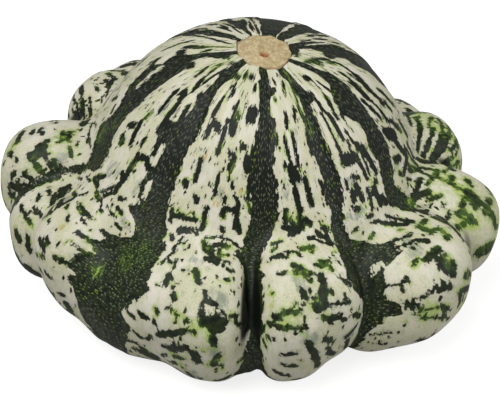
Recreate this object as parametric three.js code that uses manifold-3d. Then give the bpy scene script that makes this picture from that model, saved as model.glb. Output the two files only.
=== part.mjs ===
// Pattypan squash, one fruit grown in one piece: a domed crown over a ring of swollen lobes,
// resting on its flattened underside, with the flat corky scar of its stem let into the top.
// Millimetres, +Z up. The origin is at the middle of the fruit, on the surface it rests on.

import * as THREE from 'three';
import Module from 'manifold-3d';
import { mergeVertices } from 'three/addons/utils/BufferGeometryUtils.js';

const wasm = await Module();
wasm.setup();

// ---- Driving dimensions -------------------------------------------------------------------

// The body is two rounded masses melted together: the crown, and the wide base below it.
// Squareness is 2 for a plain ellipsoid and more for a boxier one.
const CROWN = { centre: [1.5, 2, 58.5], radii: [64, 60, 55], squareness: 2 };
const BASE = { centre: [-2.5, -1.5, 38], radii: [71, 64, 40], squareness: 2.8 };
const BODY_BLEND = 14;

// The blossom end: a shallow hollow under the middle of the base.
const HOLLOW = { centre: [-2, -1, -8], radii: [26, 26, 12], squareness: 2 };
const HOLLOW_BLEND = 4;

// Lobes stand out round the body like the petals of a flower. Azimuth runs from +X towards
// +Y; reach and height place a lobe's middle; length, width and depth are its half sizes
// outwards, along the rim and upwards; droop tips its far end down, in degrees; and join is
// how widely it melts into the lobes listed before it. The low ones are webs between others.
const LOBES = [
  { azimuth: 324, reach: 72, height: 33, length: 31, width: 26, depth: 24, droop: 4, join: 4 },
  { azimuth: 312, reach: 63, height: 26, length: 26, width: 17, depth: 20, droop: 10, join: 10 },
  { azimuth: 292, reach: 62, height: 35, length: 27, width: 18, depth: 28, droop: 20, join: 4 },
  { azimuth: 282, reach: 65, height: 33, length: 29, width: 16, depth: 29, droop: 21, join: 7 },
  { azimuth: 258, reach: 65, height: 33, length: 29, width: 17, depth: 29, droop: 20, join: 4 },
  { azimuth: 244, reach: 62, height: 34, length: 28, width: 17, depth: 28, droop: 20, join: 8 },
  { azimuth: 226, reach: 62, height: 29, length: 29, width: 20, depth: 25, droop: 17, join: 12 },
  { azimuth: 208, reach: 66, height: 35, length: 29, width: 19, depth: 27, droop: 12, join: 8 },
  { azimuth: 191, reach: 67, height: 33, length: 34, width: 17, depth: 23, droop: 4, join: 4 },
  { azimuth: 175, reach: 70, height: 41, length: 35, width: 19, depth: 25, droop: -3, join: 4 },
  { azimuth: 148, reach: 63, height: 47, length: 25, width: 18, depth: 25, droop: -3, join: 4 },
  { azimuth: 132, reach: 66, height: 42, length: 24, width: 16, depth: 24, droop: -3, join: 4 },
  { azimuth: 105, reach: 64, height: 36, length: 32, width: 21, depth: 28, droop: 0, join: 4 },
  { azimuth: 72, reach: 65, height: 35, length: 32, width: 22, depth: 27, droop: 0, join: 4 },
  { azimuth: 36, reach: 71, height: 31, length: 22, width: 16, depth: 21, droop: 4, join: 4 },
  { azimuth: 18, reach: 68, height: 36, length: 26, width: 19, depth: 24, droop: 3, join: 4 },
  { azimuth: 351, reach: 71, height: 36, length: 34, width: 20, depth: 22, droop: 13, join: 4 },
  { azimuth: 269, reach: 60, height: 24, length: 23, width: 7, depth: 20, droop: 20, join: 4 },
];
const LOBE_SQUARENESS = 2.8;
const RIM_BLEND = 5;

// The fruit grew outwards from its heart, along the line from there to the stem.
const HEART = new THREE.Vector3(0, 0, 42);
const STEM_AT = { x: 6, y: -2 };

// The stem scar: a thin corky disc with a fluted edge and a pit in its middle.
const SCAR_RADIUS = 11;
const FLUTES = 10;
const FLUTE_DEPTH = 0.5;
const SCAR_SUNK = 0.6;
const SCAR_THICKNESS = 1.8;
const GAP = 0.3;
// Its section from the pit out to the rim, as radius and height over the disc's face.
const SCAR_SECTION = [
  [0, -1.2], [1.3, -1], [1.9, 0.1], [3.4, 0.5], [4.4, 0.1], [7.5, 0], [10, 0.3], [11, 0],
];

const ROWS = 34;
const COLUMNS = 96;
const SCAR_COLUMNS = 60;
const GROWING_STEPS = 24;
const SETTLING_STEPS = 16;
const SLIDE = 0.4;

// ---- Shape of the fruit: distances to its rounded masses, melted together -----------------

const rad = THREE.MathUtils.degToRad;

// The lesser of two distances, with the crease between them rounded over the blend width.
function blend(a, b, width) {
  const mix = THREE.MathUtils.clamp(0.5 + (0.5 * (b - a)) / width, 0, 1);
  return b + (a - b) * mix - width * mix * (1 - mix);
}

// Signed distance, near enough, to an ellipsoid squared off by its exponent.
function boxyEllipsoid(x, y, z, radii, exponent) {
  const unit = [x, y, z].map((value, i) => Math.abs(value) / radii[i]);
  const size = Math.max(unit.reduce((sum, u) => sum + u ** exponent, 0) ** (1 / exponent), 1e-9);
  const slope = Math.hypot(...unit.map((u, i) => (u / size) ** (exponent - 1) / radii[i]));
  return (size - 1) / slope;
}

function ellipsoid(point, { centre, radii, squareness }) {
  const [x, y, z] = [point.x - centre[0], point.y - centre[1], point.z - centre[2]];
  return boxyEllipsoid(x, y, z, radii, squareness);
}

function lobe(point, { azimuth, reach, height, length, width, depth, droop }) {
  const [c, s] = [Math.cos(rad(azimuth)), Math.sin(rad(azimuth))];
  const out = point.x * c + point.y * s - reach;
  const along = point.y * c - point.x * s;
  const up = point.z - height;
  const [cd, sd] = [Math.cos(rad(droop)), Math.sin(rad(droop))];
  const radii = [length, width, depth];
  return boxyEllipsoid(out * cd - up * sd, along, out * sd + up * cd, radii, LOBE_SQUARENESS);
}

// A lobe as it was at an age from 0 to 1: smaller, and closer to the middle of the fruit.
function youngLobe(grown, age) {
  const part = (from) => from + (1 - from) * age;
  const young = { ...grown, reach: grown.reach * part(0.6) };
  ['length', 'width', 'depth'].forEach((size) => (young[size] *= part(0.5)));
  return young;
}

const lobesAt = (age) => LOBES.map((grown) => youngLobe(grown, age));

// Distance from a point to the rind of a fruit with these lobes: negative inside it.
function rind(point, lobes = LOBES) {
  const body = blend(ellipsoid(point, CROWN), ellipsoid(point, BASE), BODY_BLEND);
  const [first, ...others] = lobes;
  const melt = (sum, item) => blend(sum, lobe(point, item), item.join);
  const ring = others.reduce(melt, lobe(point, first));
  const whole = blend(body, ring, RIM_BLEND);
  return -blend(-whole, ellipsoid(point, HOLLOW), HOLLOW_BLEND);
}

// The outermost point of the rind on a ray that starts at origin.
function onRind(origin, direction, lobes = LOBES) {
  const STEPS = 60;
  const CAUTION = 0.8;
  let travel = 140;
  for (let i = 0; i < STEPS; i += 1) {
    const point = origin.clone().addScaledVector(direction, travel);
    travel -= CAUTION * rind(point, lobes);
  }
  return origin.clone().addScaledVector(direction, travel);
}

// The rind's outward direction at a point, from how its distance changes round about.
function outward(point, lobes = LOBES) {
  const STEP = 0.5;
  const change = (x, y, z) => {
    const offset = new THREE.Vector3(x, y, z).multiplyScalar(STEP);
    return rind(point.clone().add(offset), lobes) - rind(point.clone().sub(offset), lobes);
  };
  return new THREE.Vector3(change(1, 0, 0), change(0, 1, 0), change(0, 0, 1)).normalize();
}

// ---- Closed meshes made of rings round an axis --------------------------------------------

// pointAt(row, column) gives a point for whole rows 0 to rows; the first and last row are
// single points on the axis, and each row between them is a ring of that many columns.
function ringSolid(rows, columns, pointAt) {
  const positions = [...pointAt(0, 0)];
  for (let row = 1; row < rows; row += 1) {
    for (let column = 0; column < columns; column += 1) positions.push(...pointAt(row, column));
  }
  positions.push(...pointAt(rows, 0));
  const last = positions.length / 3 - 1;
  const at = (row, column) => 1 + (row - 1) * columns + (column % columns);
  const index = [];
  for (let column = 0; column < columns; column += 1) {
    const next = column + 1;
    index.push(0, at(1, column), at(1, next));
    index.push(last, at(rows - 1, next), at(rows - 1, column));
    for (let row = 1; row < rows - 1; row += 1) {
      index.push(at(row, column), at(row + 1, column), at(row + 1, next));
      index.push(at(row, column), at(row + 1, next), at(row, next));
    }
  }
  const geometry = new THREE.BufferGeometry();
  geometry.setAttribute('position', new THREE.Float32BufferAttribute(positions, 3));
  geometry.setIndex(index);
  return geometry;
}

// ---- The stem's place on the crown --------------------------------------------------------

const UP = new THREE.Vector3(0, 0, 1);
const stemTop = onRind(new THREE.Vector3(STEM_AT.x, STEM_AT.y, 0), UP);

const squareToRind = new THREE.Quaternion().setFromUnitVectors(UP, outward(stemTop));
const growthAxis = stemTop.clone().sub(HEART).normalize();
const alongGrowth = new THREE.Quaternion().setFromUnitVectors(UP, growthAxis);

// ---- Fruit --------------------------------------------------------------------------------

// Rows are closer together across the lobes than at the crown and the underside.
function polarAngle(row) {
  const CROWDING = 0.06;
  const t = row / ROWS;
  return Math.PI * (t + CROWDING * Math.sin(2 * Math.PI * t));
}

function fruitPoint(row, column) {
  const angle = polarAngle(row);
  const turn = (2 * Math.PI * column) / COLUMNS;
  const direction = new THREE.Vector3().setFromSphericalCoords(1, angle, turn);
  direction.applyAxisAngle(new THREE.Vector3(1, 0, 0), Math.PI / 2);
  return onRind(HEART, direction.applyQuaternion(alongGrowth), lobesAt(0));
}

// Grows a young skin to full size: at each age its points slide along the rind towards their
// neighbours, the far ones most, which spreads them evenly, and then follow the rind out.
function grow(geometry) {
  const place = geometry.attributes.position;
  const points = Array.from({ length: place.count }, (_, i) => {
    return new THREE.Vector3().fromBufferAttribute(place, i);
  });
  const neighbours = points.map(() => new Set());
  const corners = geometry.index.array;
  for (let i = 0; i < corners.length; i += 3) {
    const triangle = [corners[i], corners[i + 1], corners[i + 2]];
    triangle.forEach((a) => triangle.forEach((b) => a !== b && neighbours[a].add(b)));
  }
  for (let step = 1; step <= GROWING_STEPS + SETTLING_STEPS; step += 1) {
    const lobes = lobesAt(Math.min(step / GROWING_STEPS, 1));
    const slides = points.map((point, i) => {
      const slide = new THREE.Vector3();
      let total = 0;
      neighbours[i].forEach((j) => {
        const pull = points[j].distanceTo(point);
        slide.addScaledVector(points[j].clone().sub(point), pull);
        total += pull;
      });
      return slide.divideScalar(total).projectOnPlane(outward(point, lobes));
    });
    points.forEach((point, i) => {
      point.addScaledVector(slides[i], SLIDE);
      point.addScaledVector(outward(point, lobes), -rind(point, lobes));
    });
  }
  points.forEach((point, i) => place.setXYZ(i, point.x, point.y, Math.max(point.z, 0)));
  return geometry;
}

// ---- Stem scar, and the shallow seat it lies in -------------------------------------------

// A disc with the fluted edge, from a section of radius and height pairs, placed on the crown.
function flutedDisc(section, extra) {
  const face = section.map(([radius, height]) => [radius, height - SCAR_SUNK]);
  const rim = section[section.length - 1][0];
  const floor = -SCAR_SUNK - SCAR_THICKNESS - extra;
  const profile = [...face, [rim, floor], [0, floor]];
  const place = (row, column) => {
    const turn = (2 * Math.PI * column) / SCAR_COLUMNS;
    const [radius, height] = profile[row];
    const flute = 0.5 * FLUTE_DEPTH * Math.cos(FLUTES * turn) * (radius / rim);
    const grown = radius > 0 ? radius + flute + extra * (radius / rim) : 0;
    const point = new THREE.Vector3(grown * Math.cos(turn), grown * Math.sin(turn), height);
    return point.applyQuaternion(squareToRind).add(stemTop);
  };
  return ringSolid(profile.length - 1, SCAR_COLUMNS, place);
}

function toManifold(geometry) {
  const merged = mergeVertices(geometry);
  const mesh = new wasm.Mesh({
    numProp: 3,
    vertProperties: new Float32Array(merged.attributes.position.array),
    triVerts: new Uint32Array(merged.index.array),
  });
  return new wasm.Manifold(mesh);
}

function toGeometry(manifold) {
  const { vertProperties, triVerts } = manifold.getMesh();
  const geometry = new THREE.BufferGeometry();
  geometry.setAttribute('position', new THREE.Float32BufferAttribute(vertProperties, 3));
  geometry.setIndex(Array.from(triVerts));
  return geometry;
}

const CLEAR_OF_CROWN = 6;
const seatSection = [[0, CLEAR_OF_CROWN], [SCAR_RADIUS, CLEAR_OF_CROWN]];
const fruitSkin = toManifold(grow(ringSolid(ROWS, COLUMNS, fruitPoint)));
const seat = toManifold(flutedDisc(seatSection, GAP));

// ---- The squash ---------------------------------------------------------------------------

const rindFinish = new THREE.MeshStandardMaterial({ color: 0xb9bd9c, roughness: 0.42 });
const corkFinish = new THREE.MeshStandardMaterial({ color: 0xc3a878, roughness: 0.9 });

const fruit = new THREE.Mesh(toGeometry(fruitSkin.subtract(seat)), rindFinish);
fruit.name = 'fruit';
const stemScar = new THREE.Mesh(flutedDisc(SCAR_SECTION, 0), corkFinish);
stemScar.name = 'stem_scar';

const squash = new THREE.Group();
squash.add(fruit, stemScar);

// Centre the squash over the origin.
const box = new THREE.Box3().setFromObject(squash);
const middle = box.getCenter(new THREE.Vector3());
squash.position.set(-middle.x, -middle.y, -box.min.z);

export default squash;
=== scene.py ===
"""Looks of a ripe pattypan squash: a variegated rind over a domed crown and a ring of lobes,
with the corky scar of its stem on top. The fruit's shape is worked out in millimetres, and
becomes metres where a mesh is made."""

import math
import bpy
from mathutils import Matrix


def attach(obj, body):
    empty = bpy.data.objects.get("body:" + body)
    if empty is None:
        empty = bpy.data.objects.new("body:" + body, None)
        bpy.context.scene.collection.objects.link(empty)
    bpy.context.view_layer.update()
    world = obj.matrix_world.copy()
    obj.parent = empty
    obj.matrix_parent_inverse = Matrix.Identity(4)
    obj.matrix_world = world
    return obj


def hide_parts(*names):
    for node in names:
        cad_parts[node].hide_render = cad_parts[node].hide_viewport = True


bl_info = {
    "name": "Pattypan Squash",
    "version": (1, 0, 0),
    "blender": (4, 5, 0),
    "location": "3D View > Sidebar > Squash",
    "description": "Grows the rind, the stem scar and the stage of a pattypan squash",
    "category": "Object",
}

import bpy
import numpy as np
from bpy.props import FloatProperty, FloatVectorProperty, PointerProperty
from bpy.types import Operator, Panel, PropertyGroup
from mathutils import Vector, noise

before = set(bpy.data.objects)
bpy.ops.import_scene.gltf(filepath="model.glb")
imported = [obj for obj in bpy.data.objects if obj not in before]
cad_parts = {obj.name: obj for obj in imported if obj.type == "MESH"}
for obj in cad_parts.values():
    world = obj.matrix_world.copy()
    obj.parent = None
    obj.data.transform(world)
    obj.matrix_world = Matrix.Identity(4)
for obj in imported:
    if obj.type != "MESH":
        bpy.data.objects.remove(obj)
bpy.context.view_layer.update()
MM = 0.001

# ---- Shape of the fruit, in millimetres and degrees ---------------------------------------

# The body is two rounded masses melted together, hollowed a little at the blossom end.
CROWN = {"centre": (1.5, 2, 58.5), "radii": (64, 60, 55), "squareness": 2}
BASE = {"centre": (-2.5, -1.5, 38), "radii": (71, 64, 40), "squareness": 2.8}
HOLLOW = {"centre": (-2, -1, -8), "radii": (26, 26, 12), "squareness": 2}
BODY_BLEND = 14
HOLLOW_BLEND = 4

# Lobes and the low webs between some of them: azimuth from +X towards +Y, reach and height
# of the middle, half length outwards, half width along the rim, half depth upwards, droop of
# the far end in degrees, and how widely one melts into those listed before it.
LOBES = (
    (324, 72, 33, 31, 26, 24, 4, 4),
    (312, 63, 26, 26, 17, 20, 10, 10),
    (292, 62, 35, 27, 18, 28, 20, 4),
    (282, 65, 33, 29, 16, 29, 21, 7),
    (258, 65, 33, 29, 17, 29, 20, 4),
    (244, 62, 34, 28, 17, 28, 20, 8),
    (226, 62, 29, 29, 20, 25, 17, 12),
    (208, 66, 35, 29, 19, 27, 12, 8),
    (191, 67, 33, 34, 17, 23, 4, 4),
    (175, 70, 41, 35, 19, 25, -3, 4),
    (148, 63, 47, 25, 18, 25, -3, 4),
    (132, 66, 42, 24, 16, 24, -3, 4),
    (105, 64, 36, 32, 21, 28, 0, 4),
    (72, 65, 35, 32, 22, 27, 0, 4),
    (36, 71, 31, 22, 16, 21, 4, 4),
    (18, 68, 36, 26, 19, 24, 3, 4),
    (351, 71, 36, 34, 20, 22, 13, 4),
    (269, 60, 24, 23, 7, 20, 20, 4),
)
LOBE_SQUARENESS = 2.8
RIM_BLEND = 4.5

# The fruit grows out from its heart, along the line from there to the stem.
HEART = np.array([0.0, 0.0, 42.0])
STEM_AT = (6.0, -2.0)

# The young fruit's lobes, as shares of their full reach and size.
YOUNG_REACH = 0.6
YOUNG_SIZE = 0.5

# Growing the skin: rings round the growth axis and points in a ring, doubled twice, how much
# further apart the rings lie near the ends of the axis, and how far a point slides at a time.
ROWS = 40
COLUMNS = 96
POLE_SPREAD = 0.06
GROWING_STEPS = 24
SETTLING_STEPS = 14
DOUBLED_STEPS = (4, 2)
SLIDE = 0.4

# Rays come in to the rind from this far out, in this many steps, each a share of the way left.
RAY_START = 140.0
RAY_STEPS = 60
RAY_SHARE = 0.8

# The skin's final rings and points in a ring.
SKIN_ROWS = 200
SKIN_COLUMNS = 480

# The rings nearest the stem: each one's share of the scar's edge, how far it is sunk in
# millimetres, and how much it keeps of its own place.
SEAT_RINGS = (
    (0, 2.6, 0), (0.35, 2.6, 0), (0.65, 2.6, 0), (0.86, 2.6, 0), (0.96, 2.5, 0),
    (0.99, 1.6, 0), (1.0, 0.5, 0), (1.02, 0.02, 0), (1.07, -0.08, 0), (1.16, -0.05, 0.25),
    (1.27, 0, 0.5), (1.4, 0, 0.75), (1.5, 0, 0.92),
)

# The pit's place off the middle of the scar, its radius, how widely the scar's rings are drawn
# to it, and the radius to which the crown is rounded under the scar.
PIT_AT = (0.1, -3.1)
PIT_RADIUS = 2.2
PIT_DRAWS = 5.5
CROWN_ROUNDNESS = 70

# From the middle of these shapes to the middle of the fruit's frame.
ORIGIN_SHIFT = np.array([0.215, 0.13, 0.0])

# What the camera looks at, in millimetres, and how far below that its view's middle lies.
AIM = (0.565, 3.28, 50.4)
AIM_LOWERED = 13.8

# Stem scar: its radius, how far it is sunk, and its section as radius and height over its
# face, from the pit out to the rim and under it.
SCAR_RADIUS = 11.0
SCAR_SUNK = 0.5
SCAR_SECTION = (
    (0, -1.7), (0.7, -1.65), (1.25, -1.35), (1.6, -0.5), (1.9, 0.2), (2.5, 0.5), (3.2, 0.55),
    (3.8, 0.3), (4.3, 0.05), (5.4, 0.12), (6.3, 0.3), (7.0, 0.12), (8.6, 0.05), (9.8, 0.22),
    (10.5, 0.25), (10.9, 0.05), (11.0, -0.35), (11.0, -1.8), (8.0, -2.2), (0, -2.2),
)
SCAR_COLUMNS = 160
SCAR_ROWS_EACH = 5

# The scar's grain: how fine, how high, and which slice of the noise. It fades out down the
# rim, between these heights.
SCAR_GRAIN = ((0.55, 0.28, 3.0), (1.9, 0.13, 8.0))
GRAIN_FADE = (-1.2, -0.3)

# The height of the scar's flutes on its face, the radii between which they rise there, and
# their height and that of small teeth round its edge.
FACE_FLUTES = 0.16
FLUTES_RISE = (4, 10)
EDGE_FLUTES = 0.2
EDGE_TEETH = 0.12

# Where the scar's edge stands out or is bitten: the turn, how far, and how widely.
SCAR_CORNERS = ((150, 1.4, 9), (299, 1.1, 15), (216, -0.9, 26), (258, -0.7, 14))

# The gap between the scar's edge and the rim of its seat in the rind, and the steps in which
# the rim is laid on the rind.
SEAT_MARGIN = 0.25
SEAT_STEPS = 3

# ---- Markings, laid on the young fruit before it swelled ----------------------------------
# A place is a turn round the stem, in degrees from +X towards +Y, and a level, in percent of
# the way from the stem to the blossom end. One percent of level is TALL degrees tall.

TALL = 1.5

# How far the whole pattern is turned round and moved down the skin, and how much wider the
# small marks are made, in the same units.
DRIFT = (0.6, 0.5)
MARK_SWELL = 0.18

# The pattern is turned to the sides too, because its own middle lies beside the stem: by LEAN
# times the cosine of the turn, over the way out from the stem at each level.
LEAN = 43
LEAN_LEVELS = (0, 4, 10, 20, 30, 45, 60)
WAY_OUT = (6, 11, 27, 48, 62, 80, 95)

# Dark stripes seen from the front: level, and the turns of the stripe's two edges there.
STRIPES = (
    ((3.5, 179, 192), (5, 178, 199), (6, 177, 191), (7, 176, 186), (8, 175, 182.5), (9.2, 174.5, 182),
     (10.3, 174, 183), (11.2, 171, 188.5), (12, 168.5, 189.5), (13.5, 169.5, 190), (15, 174, 191),
     (16.5, 170.8, 192), (18.5, 170.8, 192.5), (20, 173, 193), (22, 174, 192.5), (23.2, 178, 192),
     (25, 181.5, 192), (28, 181.5, 193), (30, 180.3, 196), (32.5, 179, 198), (34, 182, 198.5),
     (36, 186.5, 197.5), (37, 188, 197), (38, 189, 194), (39, 188.5, 192), (40, 187.5, 191.5),
     (42, 186, 189.5), (43, 185.3, 188), (44, 185.5, 187.5), (45, 183.3, 187), (50, 184, 187),
     (54, 185, 188), (70, 184, 189)),
    ((3.5, 211, 228), (5, 212, 228), (6, 214, 229), (7, 211, 229.5), (7.8, 216, 227), (9, 218, 226),
     (11, 219.5, 228.5), (12, 220, 230.5), (14, 220.5, 232), (16, 221, 233.5), (18, 217, 234.5),
     (19.5, 212.5, 232.5), (22, 216, 233), (24, 222, 234), (25.4, 221, 234), (26.2, 219, 234.1),
     (27.5, 219.3, 234.3), (28, 220.2, 234.4), (31, 220.5, 235), (32.3, 222, 235.3),
     (33.6, 224, 235.8), (34.6, 222.5, 236.5), (36, 222.3, 238), (37.5, 226, 238.5),
     (38.6, 227.5, 238), (39.6, 228.3, 240.7), (41, 227, 241.5), (42, 224, 241.2), (42.7, 221, 241.1),
     (43.5, 218.5, 241), (44.5, 219.5, 241.2), (45.5, 218.5, 241.4), (46.3, 215, 241.6),
     (47, 217.5, 241.8), (48, 220, 242.2), (48.7, 217, 243), (49.5, 216, 242), (50.3, 214.8, 241),
     (51.5, 215, 239.7), (52.3, 213.5, 238.6), (53, 218.3, 237.8), (54, 215.5, 236.2),
     (54.8, 216, 237.5), (55.5, 218.8, 238.4), (57, 220, 238.4), (60, 220.5, 236.3), (62, 223, 235),
     (70, 225, 233)),
    ((3.5, 258, 276), (4, 259, 276), (5, 263, 276.5), (5.6, 264.8, 276.8), (6.1, 261, 277),
     (6.5, 264, 277.5), (6.9, 264.6, 283.5), (7.5, 265, 283.5), (8, 265.3, 282), (8.4, 265.6, 278),
     (9, 266, 276), (11.6, 267, 276), (12, 267, 279), (15, 265.5, 278.5), (17, 265, 277),
     (20, 264.5, 276.5), (22, 264, 278), (25, 267, 278), (28, 267, 279), (31, 267, 277.5),
     (34, 265.8, 275), (36, 266.3, 274), (38, 265, 273.2), (39.5, 264.2, 273), (41.8, 266, 272.8),
     (42.3, 266.2, 275), (43.2, 266.6, 275), (43.6, 266.7, 273.8), (45, 266.8, 275),
     (47.5, 267, 275.8), (49.3, 268.4, 275.3), (50, 268.8, 276.5), (51, 269.2, 276.3),
     (52, 269.5, 275), (55, 269, 274.7), (58, 268, 275.5), (60, 266, 277), (64, 266, 278),
     (70, 267, 278)),
    ((3.5, 296, 311), (5.4, 297.5, 311.5), (6.3, 301.5, 311.5), (8, 300, 311.5), (8.8, 301.5, 312),
     (9.3, 303, 317.5), (10.4, 302.5, 317), (11, 302, 308.5), (12, 301, 308), (14.5, 296.5, 307),
     (18, 297, 306.7), (20, 298, 307), (23, 300, 307.5), (26, 297.5, 307), (29, 299.5, 305),
     (31.5, 298, 304), (34, 296, 303.5), (36, 296.3, 304.5), (36.8, 296.3, 306.5),
     (37.5, 296.2, 309.5), (38.5, 296, 311), (39.3, 295.8, 312), (39.8, 295.7, 316), (41, 295.5, 317),
     (43, 295.2, 317), (43.7, 295, 314), (44.3, 294.9, 312), (45.3, 295, 310.5), (46.2, 296, 310.4),
     (47.3, 298.5, 310.3), (48.3, 301, 310.4), (49, 301.2, 311), (49.8, 301.3, 313.5),
     (50.3, 301.4, 314), (51, 301.5, 313), (51.5, 301.5, 309.8), (52.5, 301.5, 309.7),
     (53.3, 301.5, 307), (55, 302, 305.5), (58, 302, 304.8), (70, 301, 306)),
    ((3.5, 332, 344), (5, 334.5, 345), (6, 336.5, 347), (7, 338, 346), (8.2, 338, 345.5),
     (9, 337.5, 349), (10.2, 337, 348), (10.8, 332.5, 347), (11.6, 329.5, 347), (12.5, 326.5, 346.5),
     (15, 326, 343), (17, 330, 342), (19, 331.5, 341), (21.5, 327.5, 340), (25, 329, 339.5),
     (28, 326.5, 336), (31, 325, 332), (33, 324, 334), (35, 327, 336.5), (36, 328.8, 337),
     (37, 330, 338), (38, 331.5, 339), (39, 332.3, 338), (40, 333, 337), (44, 332.7, 338),
     (45.5, 332, 338), (47, 330.8, 338), (52, 331.5, 338), (70, 333, 338)),
    ((3.5, 357, 392), (4.3, 366, 392), (5, 376, 392), (6.5, 378.5, 392), (7.5, 374, 392),
     (8.6, 367.5, 391), (9.4, 367, 391), (10.3, 371.5, 391), (12, 374.5, 390), (14, 371, 389),
     (17, 373, 390), (20, 371, 391), (25, 374, 393), (30, 378, 393), (36, 382, 392), (45, 384, 390),
     (70, 384, 391)),
)
# Between these levels underneath, all the stripes thin out by this many degrees each side.
STRIPES_END = (72, 96)
STRIPES_THINNED = 8
# Dark stripes round the back: turn and half width at the crown, then at the rim.
BACK_STRIPES = (
    (54.5, 8.3, 53, 3.5), (79.5, 13.5, 84, 4), (98, 1.3, 100, 1.2), (114, 4, 118, 3),
    (140.5, 3.5, 140, 2.5),
)
# The levels between which they widen and turn from the one to the other, and the waves of
# their edges: how far, and how many radians to a level.
BACK_WIDENING = (15, 45)
BACK_TURNING = (10, 45)
BACK_WAVES = ((0.9, 0.9), (0.7, 2.3))

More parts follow.
